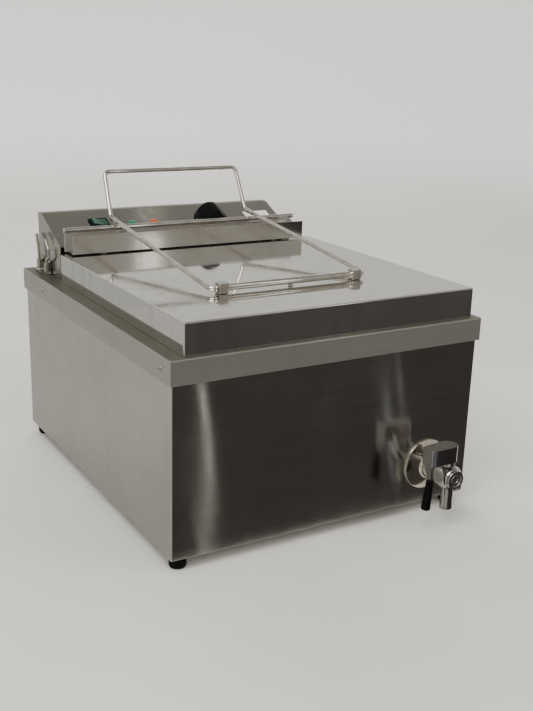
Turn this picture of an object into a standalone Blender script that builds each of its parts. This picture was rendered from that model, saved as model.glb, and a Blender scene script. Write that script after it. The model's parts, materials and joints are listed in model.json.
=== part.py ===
"""Countertop electric fryer.

A sheet-steel cabinet on four feet holds a deep oil tank under a folded deck. A console with the
controls stands on the rear of the deck, a lift-off lid with a hinged wire bail covers the tank,
and a lever-operated tap drains it at the front.

Metres, +Z up, +Y towards the rear, +X to the right. The origin is under the middle of the object.
Most places are given from the cabinet itself: x from its left side, y back from its front face,
z up from its lower edge. place() turns them into the model's frame.
"""
import math

import bmesh
import bpy
from mathutils import Matrix, Vector

# ------------------------------------------------------------------ driving dimensions
GAP = 0.0003                    # left between pieces that rest on or fit in one another
SHEET = 0.0015                  # sheet steel of every folded piece
FOLD = 0.002                    # outer radius of a fold

CABINET_WIDTH = 0.450
CABINET_DEPTH = 0.5235
CABINET_HEIGHT = 0.2207         # cabinet's lower edge to the lower edge of the deck's rim
FOOT_HEIGHT = 0.0165
FOOT_RADIUS = 0.011
FOOT_INSET = 0.016              # foot's centre from the cabinet's sides
FOOT_STUD = 0.004

DECK_RIM = 0.0307               # height of the deck's folded-down rim
DECK_OVERHANG = 0.0039          # rim's outer face from the cabinet
DECK_SCREW_HEAD = 0.0032
DECK_SCREW_SHANK = 0.0018
DECK_SCREW_FRONT = 0.021        # screws along the rim's sides
DECK_SCREW_REAR = 0.436

TANK_SIDE_MARGIN = 0.040        # cabinet's side to the tank's inside
TANK_FRONT_MARGIN = 0.025
TANK_REAR_MARGIN = 0.1385
DRAIN_CLEARANCE = 0.0002        # drain pipe's flange above the tank's floor
TANK_FLANGE = 0.012
TANK_CORNER = 0.015
DECK_CLEARANCE = 0.001          # deck's opening around the tank

LID_LEFT_MARGIN = 0.017
LID_RIGHT_MARGIN = 0.009
LID_FRONT_MARGIN = 0.0033
LID_HEIGHT = 0.0402
LID_REAR_GAP = 0.011            # lid's rear to the console's face

CONSOLE_LEFT_MARGIN = 0.0205
CONSOLE_RIGHT_MARGIN = 0.037
CONSOLE_REAR_MARGIN = 0.004
CONSOLE_DEPTH = 0.0965
CONSOLE_FACE = 0.0502           # height of the upright face
CONSOLE_RISE = 0.0361           # height of the sloping panel
CONSOLE_TOP = 0.018             # depth of the flat strip at the top

SWITCH_LEFT = 0.0795            # centres from the console's left end
SWITCH_UP = 0.052               # centres up the slope from its lower edge
SWITCH_LENGTH = 0.030
SWITCH_WIDTH = 0.022
ROCKER_TILT = math.radians(9.0)
LAMP_LEFT = (0.1315, 0.1675)
LAMP_UP = 0.044
LAMP_RADIUS = 0.007
KNOB_SHARE = 0.682              # knob's centre along the console's width
KNOB_UP = 0.044
KNOB_RADIUS = 0.028
KNOB_HEIGHT = 0.0245
KNOB_SHAFT = 0.003
LABEL_RIGHT = 0.038             # label's centre from the console's right end
LABEL_UP = 0.041
LABEL_SIZE = (0.045, 0.034)

GUARD_SIDE_MARGIN = 0.030       # splash guard on the lid's rear edge, from the cabinet's sides
GUARD_LIFT = 0.0019             # its floor above the lid
GUARD_HEIGHT = 0.0265
GUARD_DEPTH = 0.0255
RAIL_LEFT_MARGIN = 0.0265       # rail and the plate under it, from the cabinet's sides
RAIL_RIGHT_MARGIN = 0.0345
RAIL_PLATE_HEIGHT = 0.0268
RAIL_PLATE_CORNER = 0.005
RAIL_REAR_GAP = 0.0015          # rail plate to the console's face
RAIL_RADIUS = 0.004

BAIL_RADIUS = 0.0032
BAIL_SPAN = 0.2345              # between the centres of its two arms
BAIL_CENTRE_LEFT = 0.2223       # its middle from the cabinet's left side
BAIL_SETBACK = 0.1067           # hinge from the lid's front
BAIL_KINK_BEHIND_RAIL = 0.0190
BAIL_KINK_RISE = 0.0384         # kinks above the hinge
BAIL_ARM_TAPER = 0.002          # each arm and each upright leans inward by this much
BAIL_TOP_TAPER = 0.0028
BAIL_TOP_LEAN = 0.031
BAIL_TOP_RISE = 0.0637
HINGE_BLOCK = 0.0134
HINGE_BLOCK_INSET = 0.0163      # block's middle from the arm's
HINGE_TUBE_RADIUS = 0.0044
HINGE_RUNNING = 0.0003          # wire in its blocks and tube

TAP_RIGHT = 0.0713              # tap's axis from the cabinet's right side
TAP_HEIGHT = 0.0542             # above the cabinet's lower edge
TAP_REACH = 0.064               # front of the tap from the cabinet's front
TAP_STEM_REACH = 0.048          # upright axis of the stem and spout from the cabinet's front
BARREL_RADIUS = 0.0165
CAP_RADIUS = 0.0130
PIPE_RADIUS = 0.0105
PIPE_BORE = 0.008
PIPE_FLANGE = 0.004             # flange beyond the pipe's radius
PIPE_NUT = 0.0055               # nut's corners beyond the pipe's radius
ROSETTE_RADIUS = 0.0348
ROSETTE_NECK = 0.0165
ROSETTE_HEIGHT = 0.013
SPOUT_RADIUS = 0.0086
SPOUT_BORE = 0.006
SPOUT_DROP = 0.045              # spout's mouth below the tap's axis
BALL_RADIUS = 0.0097
STEM_RADIUS = 0.004
HOOD_BOTTOM = 0.0235            # lever's hood above the tap's axis
HOOD_HEIGHT = 0.0225
HOOD_RADIUS = 0.0125
HOOD_FAR_WIDTH = 0.021          # hood at its far end
HOOD_NEAR = -0.004              # middle of the hood's rounded end from the stem
LEVER_REACH = 0.0397            # hood's far end from the stem
LEVER_BAR = 0.005
GRIP_OFFSET = 0.008             # grip in front of the stem
GRIP_TOP = 0.007                # grip's upper end above the tap's axis
GRIP_LENGTH = 0.041
GRIP_LEAN = math.radians(6.0)   # lower end away from the spout
GRIP_RADII = (0.0048, 0.0062)

ELEMENT_RADIUS = 0.004
ELEMENT_FLOOR = 0.035           # heating tubes above the tank's floor
ELEMENT_PITCH = 0.038
ELEMENT_LEGS = 4
ELEMENT_MARGIN = 0.030          # tubes from the tank's walls
ELEMENT_EXIT_DEPTH = 0.0419     # tubes leave the tank this far below the deck's top
CAPILLARY_RISE = 0.018          # capillary leaves the tank this far above the tubes
GRID_HEIGHT = 0.062             # drain grid above the tank's floor
GRID_SLOT = (0.009, 0.090)
GRID_PITCH = (0.0215, 0.104)

HOOK_BRACKET_START = 0.0410     # bracket beside the console, from the console's face
HOOK_BRACKET_LENGTH = 0.048
HOOK_BRACKET_HEIGHT = 0.0215
HOOK_BRACKET_FLANGE = 0.0115
HOOK_WIRE = 0.0021
FERRULE_RADIUS = 0.0040
FERRULE_HEIGHT = 0.014
# each hook's foot behind the console's face, and its bends as (back from the foot, up from the deck)
HOOK_ROUTES = (("front", 0.047, ((0, 0.0195), (-0.0130, 0.0275), (-0.0115, 0.0400), (0.0010, 0.0525),
                                 (0.0160, 0.0595))),
               ("rear", 0.079, ((0, 0.020), (0.0015, 0.030), (0.0085, 0.0550))))

GLAND_REACH = 0.016             # cable gland behind the cabinet
GLAND_RADIUS = 0.010
GLAND_LEFT = 0.060
GLAND_HEIGHT = 0.045

# ------------------------------------------------------------------ places worked out
TOTAL_DEPTH = TAP_REACH + CABINET_DEPTH + GLAND_REACH
FRONT = TAP_REACH - TOTAL_DEPTH / 2
DECK_TOP = CABINET_HEIGHT + DECK_RIM
LID_TOP = DECK_TOP + LID_HEIGHT
CONSOLE_FRONT = CABINET_DEPTH - CONSOLE_REAR_MARGIN - CONSOLE_DEPTH
CONSOLE_LEFT = CONSOLE_LEFT_MARGIN
CONSOLE_RIGHT = CABINET_WIDTH - CONSOLE_RIGHT_MARGIN
LID_REAR = CONSOLE_FRONT - LID_REAR_GAP
SLOPE = math.atan2(CONSOLE_RISE, CONSOLE_DEPTH - CONSOLE_TOP)
TANK_FLOOR = TAP_HEIGHT - PIPE_RADIUS - PIPE_FLANGE - DRAIN_CLEARANCE
TANK_LEFT = TANK_SIDE_MARGIN
TANK_RIGHT = CABINET_WIDTH - TANK_SIDE_MARGIN
TANK_FRONT = TANK_FRONT_MARGIN
TANK_REAR = CABINET_DEPTH - TANK_REAR_MARGIN
TAP_X = CABINET_WIDTH - TAP_RIGHT

STEEL = ("brushed stainless steel", (0.42, 0.41, 0.39), 0.32, 1.0)
CHROME = ("polished chrome", (0.62, 0.60, 0.57), 0.08, 1.0)
WIRE = ("polished wire", (0.60, 0.58, 0.54), 0.15, 1.0)
BLACK = ("black plastic", (0.012, 0.012, 0.013), 0.35, 0.0)
RUBBER = ("black rubber", (0.015, 0.015, 0.015), 0.8, 0.0)
GREEN = ("green lens", (0.01, 0.16, 0.07), 0.2, 0.0)
ORANGE = ("orange lens", (0.42, 0.09, 0.02), 0.2, 0.0)
WHITE = ("white label", (0.75, 0.75, 0.73), 0.5, 0.0)
ELEMENT = ("dark heating tube", (0.10, 0.09, 0.085), 0.45, 1.0)
BRASS = ("brass", (0.50, 0.36, 0.14), 0.3, 1.0)
CERAMIC = ("cream ceramic", (0.65, 0.60, 0.48), 0.6, 0.0)


# ------------------------------------------------------------------ scene and helpers
def clear_scene():
    for old in list(bpy.data.objects):
        bpy.data.objects.remove(old, do_unlink=True)


def new_collection(name):
    collection = bpy.data.collections.new(name)
    bpy.context.scene.collection.children.link(collection)
    return collection


def material(look):
    name, color, roughness, metallic = look
    made = bpy.data.materials.get(name)
    if made is None:
        made = bpy.data.materials.new(name)
        made.use_nodes = True
        shader = made.node_tree.nodes["Principled BSDF"]
        shader.inputs["Base Color"].default_value = (*color, 1.0)
        shader.inputs["Roughness"].default_value = roughness
        shader.inputs["Metallic"].default_value = metallic
    return made


def place(x, y, z):
    """A point given from the cabinet's left side, front face and lower edge."""
    return Vector((x - CABINET_WIDTH / 2, FRONT + y, FOOT_HEIGHT + z))


def slope_frame(x, up):
    """Frame on the console's sloping panel: local Y runs up the slope, local Z out of it."""
    low = place(x, CONSOLE_FRONT, DECK_TOP + CONSOLE_FACE)
    return Matrix.Translation(low) @ Matrix.Rotation(SLOPE, 4, "X") @ Matrix.Translation((0, up, 0))


def towards(axis):
    """Rotation that turns local Z to the given direction."""
    return Vector((0, 0, 1)).rotation_difference(Vector(axis)).to_matrix().to_4x4()


def add_object(name, data, look=None, matrix=None):
    """Link a piece, or a cutter when it has no look."""
    made = bpy.data.objects.new(name, data)
    if look is None:
        CUTTERS.objects.link(made)
        made.hide_render = True
        made.display_type = "WIRE"
    else:
        PARTS.objects.link(made)
        data.materials.append(material(look))
    if matrix is not None:
        made.matrix_world = matrix
    return made


def mesh_from(name, bm):
    bmesh.ops.recalc_face_normals(bm, faces=bm.faces)
    mesh = bpy.data.meshes.new(name)
    bm.to_mesh(mesh)
    bm.free()
    return mesh


def smooth(mesh, angle=35.0):
    mesh.shade_smooth()
    mesh.set_sharp_from_angle(angle=math.radians(angle))


def local_box(name, size, look=None, matrix=None, radius=0.0, rounded="all", segments=3):
    """A box about its own middle. rounded picks the edges that get the radius."""
    bm = bmesh.new()
    bmesh.ops.create_cube(bm, size=1.0)
    bmesh.ops.scale(bm, vec=Vector(size), verts=bm.verts)
    if radius > 0:
        top = size[2] / 2 - 1e-6

        def chosen(edge):
            a, b = (vert.co for vert in edge.verts)
            upright = abs(a.z - b.z) > 1e-6
            at_top = a.z > top and b.z > top
            at_floor = a.z < -top and b.z < -top
            return {
                "all": True,
                "upright": upright,
                "top": upright or at_top,
                "floor": upright or at_floor,
                "front": upright and a.y < 0,
            }[rounded]
        bmesh.ops.bevel(bm, geom=[e for e in bm.edges if chosen(e)], offset=radius, segments=segments,
                        profile=0.5, affect="EDGES", clamp_overlap=True)
    mesh = mesh_from(name, bm)
    if radius > 0:
        smooth(mesh)
    return add_object(name, mesh, look, matrix)


def box(name, low, high, look=None, radius=0.0, rounded="all", segments=3):
    """A box between two corners given from the cabinet."""
    low = place(*low)
    high = place(*high)
    return local_box(name, high - low, look, Matrix.Translation((low + high) / 2), radius, rounded,
                     segments)


def cylinder(name, radius, start, end, look=None, sides=32):
    """A round bar between two points of the model's frame."""
    start = Vector(start)
    end = Vector(end)
    bm = bmesh.new()
    bmesh.ops.create_cone(bm, cap_ends=True, segments=sides, radius1=radius, radius2=radius,
                          depth=(end - start).length)
    mesh = mesh_from(name, bm)
    smooth(mesh)
    return add_object(name, mesh, look, Matrix.Translation((start + end) / 2) @ towards(end - start))


def turned(name, profile, matrix, look=None, steps=32, ring=False):
    """A turned piece. The profile's (radius, height) points run down the outer side."""
    mesh = bpy.data.meshes.new(name)
    edges = [(i, i + 1) for i in range(len(profile) - 1)]
    if ring:
        edges.append((len(profile) - 1, 0))
    mesh.from_pydata([(radius, 0.0, height) for radius, height in profile], edges, [])
    made = add_object(name, mesh, look, matrix)
    screw = made.modifiers.new("turn", "SCREW")
    screw.axis = "Z"
    screw.angle = math.tau
    screw.steps = steps
    screw.render_steps = steps
    screw.use_merge_vertices = True
    screw.merge_threshold = 0.00001
    screw.use_smooth_shade = True
    return made


def rounded_path(points, radius, steps=4):
    """The points with each inner corner replaced by an arc."""
    points = [Vector(point) for point in points]
    path = [points[0]]
    for before, corner, after in zip(points, points[1:], points[2:]):
        back = (before - corner).normalized()
        ahead = (after - corner).normalized()
        half = back.angle(ahead) / 2
        reach = radius / math.tan(half)
        centre = corner + (back + ahead).normalized() * (radius / math.sin(half))
        first = corner + back * reach - centre
        last = corner + ahead * reach - centre
        turn = first.rotation_difference(last)
        for step in range(steps + 1):
            part = Matrix.Rotation(turn.angle * step / steps, 3, turn.axis)
            path.append(centre + part @ first)
    path.append(points[-1])
    return path


def tube(name, points, radius, look, matrix=None, sides=2):
    """A bar that follows the points, with flat ends."""
    curve = bpy.data.curves.new(name, "CURVE")
    curve.dimensions = "3D"
    curve.bevel_depth = radius
    curve.bevel_resolution = sides
    curve.use_fill_caps = True
    spline = curve.splines.new("POLY")
    spline.points.add(len(points) - 1)
    for target, point in zip(spline.points, points):
        target.co = (*point, 1.0)
        target.radius = 1.0
    spline.use_smooth = True
    return add_object(name, curve, look, matrix)


def plate(name, outline, thickness, matrix, look=None):
    """A flat outline in local X and Y, centred on its thickness, as a mesh."""
    curve = bpy.data.curves.new(name, "CURVE")
    curve.dimensions = "2D"
    curve.fill_mode = "BOTH"
    curve.extrude = thickness / 2
    spline = curve.splines.new("POLY")
    spline.points.add(len(outline) - 1)
    for target, point in zip(spline.points, outline):
        target.co = (point[0], point[1], 0.0, 1.0)
    spline.use_cyclic_u = True
    drawn = bpy.data.objects.new(name, curve)
    CUTTERS.objects.link(drawn)
    graph = bpy.context.evaluated_depsgraph_get()
    mesh = bpy.data.meshes.new_from_object(drawn.evaluated_get(graph))
    bpy.data.objects.remove(drawn, do_unlink=True)
    mesh.name = name
    bm = bmesh.new()
    bm.from_mesh(mesh)
    bmesh.ops.remove_doubles(bm, verts=bm.verts, dist=0.000001)
    bmesh.ops.recalc_face_normals(bm, faces=bm.faces)
    bm.to_mesh(mesh)
    bm.free()
    mesh.materials.clear()
    smooth(mesh)
    return add_object(name, mesh, look, matrix)


def boolean(target, other, operation="DIFFERENCE"):
    modifier = target.modifiers.new(operation.lower(), "BOOLEAN")
    modifier.operation = operation
    modifier.solver = "EXACT"
    modifier.object = other
    return target


def nut(name, bore, radius, height, matrix, look):
    """A hexagonal nut standing on local Z = 0, with a round bore."""
    low = matrix @ Vector((0, 0, 0))
    high = matrix @ Vector((0, 0, height))
    beyond = (high - low).normalized() * 0.005
    made = cylinder(name, radius, low, high, look, 6)
    boolean(made, cylinder("bore_" + name, bore, low - beyond, high + beyond))
    return made


def attach(parent, *children):
    """Make children follow a parent without moving them."""
    for child in children:
        child.parent = parent
        child.matrix_parent_inverse = parent.matrix_basis.inverted()


# ------------------------------------------------------------------ cabinet
def make_cabinet():
    top = DECK_TOP - SHEET - GAP
    wrap = box("cabinet_wrap", (0, 0, 0), (CABINET_WIDTH, CABINET_DEPTH, top), STEEL, FOLD, "front")
    hollow = box("cabinet_hollow", (SHEET, SHEET, -0.01), (CABINET_WIDTH - SHEET, CABINET_DEPTH + 0.01,
                 top + 0.01), None, FOLD - SHEET, "front")
    boolean(wrap, hollow)
    tap_hole = cylinder("tap_hole", PIPE_RADIUS + 0.0015, place(TAP_X, -0.01, TAP_HEIGHT),
                        place(TAP_X, 0.01, TAP_HEIGHT))
    boolean(wrap, tap_hole)
    inner = SHEET + GAP
    back = box("back_panel", (inner, CABINET_DEPTH - SHEET, SHEET + 2 * GAP),
               (CABINET_WIDTH - inner, CABINET_DEPTH, top), STEEL)
    gland_hole = cylinder("gland_hole", GLAND_RADIUS * 0.7 + GAP,
                          place(GLAND_LEFT, CABINET_DEPTH - 0.01, GLAND_HEIGHT),
                          place(GLAND_LEFT, CABINET_DEPTH + 0.01, GLAND_HEIGHT))
    boolean(back, gland_hole)
    add_vents(back)
    floor = box("base_plate", (inner, inner, 0), (CABINET_WIDTH - inner, CABINET_DEPTH, SHEET), STEEL)
    for name, x, y in foot_places():
        hole = cylinder("hole_" + name, FOOT_STUD + GAP, place(x, y, -0.01), place(x, y, 0.01))
        boolean(floor, hole)
        make_foot(name, x, y)
    return wrap


def add_vents(back):
    """A row of upright slots in the back panel."""
    count = 9
    pitch = 0.022
    for index in range(count):
        x = CABINET_WIDTH / 2 + (index - (count - 1) / 2) * pitch
        slot = box(f"vent_{index + 1}", (x - 0.003, CABINET_DEPTH - 0.01, CABINET_HEIGHT - 0.060),
                   (x + 0.003, CABINET_DEPTH + 0.01, CABINET_HEIGHT - 0.020))
        boolean(back, slot)


def foot_places():
    left = FOOT_INSET
    right = CABINET_WIDTH - FOOT_INSET
    rear = CABINET_DEPTH - FOOT_INSET
    return (("foot_front_left", left, FOOT_INSET), ("foot_front_right", right, FOOT_INSET),
            ("foot_rear_left", left, rear), ("foot_rear_right", right, rear))


def make_foot(name, x, y):
    profile = [(0, FOOT_HEIGHT + 0.006), (FOOT_STUD, FOOT_HEIGHT + 0.006), (FOOT_STUD, FOOT_HEIGHT - GAP),
               (FOOT_RADIUS, FOOT_HEIGHT - GAP), (FOOT_RADIUS, 0.003), (FOOT_RADIUS - 0.0015, 0),
               (0, 0)]
    turned(name, profile, Matrix.Translation(place(x, y, -FOOT_HEIGHT)), RUBBER, 24)


# ------------------------------------------------------------------ deck and tank
def make_deck():
    out = DECK_OVERHANG
    deck = box("top_deck", (-out, -out, CABINET_HEIGHT), (CABINET_WIDTH + out, CABINET_DEPTH + out,
               DECK_TOP), STEEL, FOLD, "top")
    skin = out - SHEET
    hollow = box("deck_hollow", (-skin, -skin, CABINET_HEIGHT - 0.01),
                 (CABINET_WIDTH + skin, CABINET_DEPTH + skin, DECK_TOP - SHEET), None, FOLD - SHEET, "top")
    boolean(deck, hollow)
    edge = SHEET + DECK_CLEARANCE
    opening = box("deck_opening", (TANK_LEFT - edge, TANK_FRONT - edge, DECK_TOP - 0.01),
                  (TANK_RIGHT + edge, TANK_REAR + edge, DECK_TOP + 0.01), None, TANK_CORNER, "upright")
    boolean(deck, opening)
    return deck


def make_deck_screws(deck, wrap):
    height = CABINET_HEIGHT + DECK_RIM / 2
    for side, x, outward in (("left", -DECK_OVERHANG, -1), ("right", CABINET_WIDTH + DECK_OVERHANG, 1)):
        for end, y in (("front", DECK_SCREW_FRONT), ("rear", DECK_SCREW_REAR)):
            hole = cylinder(f"hole_deck_screw_{side}_{end}", DECK_SCREW_SHANK + GAP,
                            place(x - 0.01, y, height), place(x + 0.01, y, height), None, 16)
            boolean(deck, hole)
            boolean(wrap, hole)
            head = DECK_SCREW_HEAD
            profile = [(0, 0.0019), (head * 0.55, 0.0017), (head, 0.0008), (head, GAP),
                       (DECK_SCREW_SHANK, GAP), (DECK_SCREW_SHANK, -0.007), (0, -0.007)]
            turned(f"deck_screw_{side}_{end}", profile,
                   Matrix.Translation(place(x, y, height)) @ towards((outward, 0, 0)), CHROME, 16)


def make_tank():
    low = TANK_FLOOR - SHEET
    tank = box("tank", (TANK_LEFT - SHEET, TANK_FRONT - SHEET, low), (TANK_RIGHT + SHEET,
               TANK_REAR + SHEET, DECK_TOP + 0.001), STEEL, TANK_CORNER + SHEET, "upright", 4)
    base = DECK_TOP + GAP
    wide = TANK_FLANGE
    flange = box("tank_flange", (TANK_LEFT - wide, TANK_FRONT - wide, base), (TANK_RIGHT + wide,
                 TANK_REAR + wide, base + SHEET), None, TANK_CORNER, "upright", 4)
    boolean(tank, flange, "UNION")
    hollow = box("tank_hollow", (TANK_LEFT, TANK_FRONT, TANK_FLOOR), (TANK_RIGHT, TANK_REAR,
                 DECK_TOP + 0.02), None, TANK_CORNER, "upright", 4)
    boolean(tank, hollow)
    drain = cylinder("drain_hole", PIPE_RADIUS + GAP, place(TAP_X, TANK_FRONT - 0.01, TAP_HEIGHT),
                     place(TAP_X, TANK_FRONT + 0.01, TAP_HEIGHT))
    boolean(tank, drain)
    return tank


def make_heating(tank):
    """Two heating tubes that enter through the rear wall, drop, and run to and fro on the floor."""
    height = TANK_FLOOR + ELEMENT_FLOOR
    exit_height = DECK_TOP - ELEMENT_EXIT_DEPTH
    outside = TANK_REAR + SHEET + 0.018
    drop = TANK_REAR - ELEMENT_MARGIN / 2
    far = TANK_FRONT + ELEMENT_MARGIN
    near = drop - ELEMENT_PITCH
    middle = (TANK_LEFT + TANK_RIGHT) / 2
    for side, sign in (("left", -1), ("right", 1)):
        legs = [middle + sign * ELEMENT_PITCH * (0.6 + index) for index in range(ELEMENT_LEGS)]
        route = [(legs[0], outside, exit_height), (legs[0], drop, exit_height), (legs[0], drop, height)]
        for index, x in enumerate(legs):
            ends = (far, near) if index % 2 else (near, far)
            if index > 0:
                route.append((x, ends[0], height))
            if index < ELEMENT_LEGS - 1:
                route.append((x, ends[1], height))
        last = legs[-1]
        route += [(last, drop, height), (last, drop, exit_height), (last, outside, exit_height)]
        path = rounded_path([place(*point) for point in route], 0.012, 3)
        tube(f"heating_tube_{side}", path, ELEMENT_RADIUS, ELEMENT)
        make_heater_flange(tank, side, (legs[0], last), exit_height)


def make_heater_flange(tank, side, centres, height):
    """Brass plate outside the tank's rear wall that both ends of a heating tube pass through."""
    near = TANK_REAR + SHEET + GAP
    edge = 0.014
    flange = box(f"heater_flange_{side}", (min(centres) - edge, near, height - edge),
                 (max(centres) + edge, near + 0.003, height + edge), BRASS, 0.001, "all", 1)
    for number, x in enumerate(centres, 1):
        hole = cylinder(f"tube_hole_{side}_{number}", ELEMENT_RADIUS + GAP, place(x, TANK_REAR - 0.01, height),
                        place(x, TANK_REAR + 0.01, height), None, 24)
        boolean(tank, hole)
        boolean(flange, hole)


def make_grid():
    """Slotted drain grid on folded legs, above the heating tubes."""
    margin = 0.006
    low = TANK_FLOOR + GAP
    top = TANK_FLOOR + GRID_HEIGHT
    rear = TANK_REAR - ELEMENT_MARGIN - 0.004
    grid = box("drain_grid", (TANK_LEFT + margin, TANK_FRONT + margin, low), (TANK_RIGHT - margin, rear,
               top), STEEL, FOLD, "top", 2)
    inner = margin + SHEET
    hollow = box("grid_hollow", (TANK_LEFT + inner, TANK_FRONT - 0.01, low - 0.01),
                 (TANK_RIGHT - inner, rear + 0.02, top - SHEET))
    boolean(grid, hollow)
    slot = box("grid_slots", (0, 0, top - 0.01), (GRID_SLOT[0], GRID_SLOT[1], top + 0.01))
    width = TANK_RIGHT - TANK_LEFT - 2 * inner
    length = rear - TANK_FRONT - margin
    counts = [int((span - GRID_SLOT[axis]) / GRID_PITCH[axis]) for axis, span in enumerate((width, length))]
    corner = place(TANK_LEFT + inner + (width - (counts[0] - 1) * GRID_PITCH[0]) / 2,
                   TANK_FRONT + margin + (length - (counts[1] - 1) * GRID_PITCH[1]) / 2, top)
    slot.location = corner
    for axis in range(2):
        array = slot.modifiers.new("row", "ARRAY")
        array.count = counts[axis]
        array.use_relative_offset = False
        array.use_constant_offset = True
        array.constant_offset_displace = [GRID_PITCH[axis] if i == axis else 0.0 for i in range(3)]
    boolean(grid, slot)
    return grid


# ------------------------------------------------------------------ console
def console_outline(inset, floor):
    """Console's side view as (y, z) from the cabinet, moved inward by the inset."""
    rear = CONSOLE_FRONT + CONSOLE_DEPTH
    top = DECK_TOP + CONSOLE_FACE + CONSOLE_RISE
    bend = inset * math.tan(SLOPE / 2)
    return [(CONSOLE_FRONT + inset, floor), (CONSOLE_FRONT + inset, DECK_TOP + CONSOLE_FACE
             - inset * math.tan((math.pi / 2 - SLOPE) / 2)), (rear - CONSOLE_TOP + bend, top - inset),
            (rear - inset, top - inset), (rear - inset, floor)]


def side_plate(name, outline, left, right, look=None):
    """An outline of (y, z) points from the cabinet, as a prism from left to right."""
    points = []
    for y, z in outline:
        world = place(0, y, z)
        points.append((world.y, world.z))
    middle = (place(left, 0, 0).x + place(right, 0, 0).x) / 2
    turn = Matrix(((0, 0, 1, 0), (1, 0, 0, 0), (0, 1, 0, 0), (0, 0, 0, 1)))
    return plate(name, points, right - left, Matrix.Translation((middle, 0, 0)) @ turn, look)


def make_console():
    base = DECK_TOP + GAP
    housing = side_plate("console_housing", console_outline(0, base), CONSOLE_LEFT, CONSOLE_RIGHT, STEEL)
    hollow = side_plate("console_hollow", console_outline(SHEET, base - 0.01), CONSOLE_LEFT + SHEET,
                        CONSOLE_RIGHT - SHEET)
    boolean(housing, hollow)
    notch = box("console_notch", (CONSOLE_LEFT + SHEET, CONSOLE_FRONT - 0.01, DECK_TOP + 0.038),
                (CONSOLE_LEFT + 0.0085, CONSOLE_FRONT + 0.006, DECK_TOP + 0.048))
    boolean(housing, notch)
    return housing


def make_switch(housing):
    """Rocker switch in a flanged bezel, tilted to its off side."""
    frame = slope_frame(CONSOLE_LEFT + SWITCH_LEFT, SWITCH_UP)
    body = (SWITCH_LENGTH - 0.003, SWITCH_WIDTH - 0.003)
    boolean(housing, local_box("switch_cutout", (body[0] + 2 * GAP, body[1] + 2 * GAP, 0.02), None, frame))
    flange = local_box("switch_bezel", (SWITCH_LENGTH, SWITCH_WIDTH, 0.002), BLACK,
                       frame @ Matrix.Translation((0, 0, 0.001 + GAP)), 0.0006, "top", 2)
    shell = local_box("switch_shell", (body[0], body[1], 0.020), None,
                      frame @ Matrix.Translation((0, 0, -0.009)))
    boolean(flange, shell, "UNION")
    wall = 0.0012
    well = local_box("switch_well", (body[0] - 2 * wall, body[1] - 2 * wall, 0.02), None,
                     frame @ Matrix.Translation((0, 0, 0.004)))
    boolean(flange, well)
    reach = body[0] / 2 - wall - 0.0006
    outline = [(-reach, -0.002), (reach, -0.002), (reach, 0.0045), (0, 0.0027), (-reach, 0.0045)]
    upright = Matrix.Rotation(math.pi / 2, 4, "X")
    tilt = Matrix.Rotation(ROCKER_TILT, 4, "Y")
    return plate("switch_rocker", outline, body[1] - 2 * wall - 0.0008, frame @ tilt @ upright, GREEN)


def make_lamps(housing):
    for name, left, look in (("lamp_green", LAMP_LEFT[0], GREEN), ("lamp_orange", LAMP_LEFT[1], ORANGE)):
        frame = slope_frame(CONSOLE_LEFT + left, LAMP_UP)
        neck = LAMP_RADIUS - 0.0015
        hole = turned("hole_" + name, [(0, 0.01), (neck + GAP, 0.01), (neck + GAP, -0.01), (0, -0.01)],
                      frame, None, 24)
        boolean(housing, hole)
        dome = [(LAMP_RADIUS * math.sin(angle), GAP + 0.0015 + 0.0035 * math.cos(angle))
                for angle in (math.radians(step * 18) for step in range(6))]
        profile = dome + [(LAMP_RADIUS, GAP), (neck, GAP), (neck, -0.018), (0, -0.018)]
        turned(name, profile, frame, look, 24)


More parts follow.
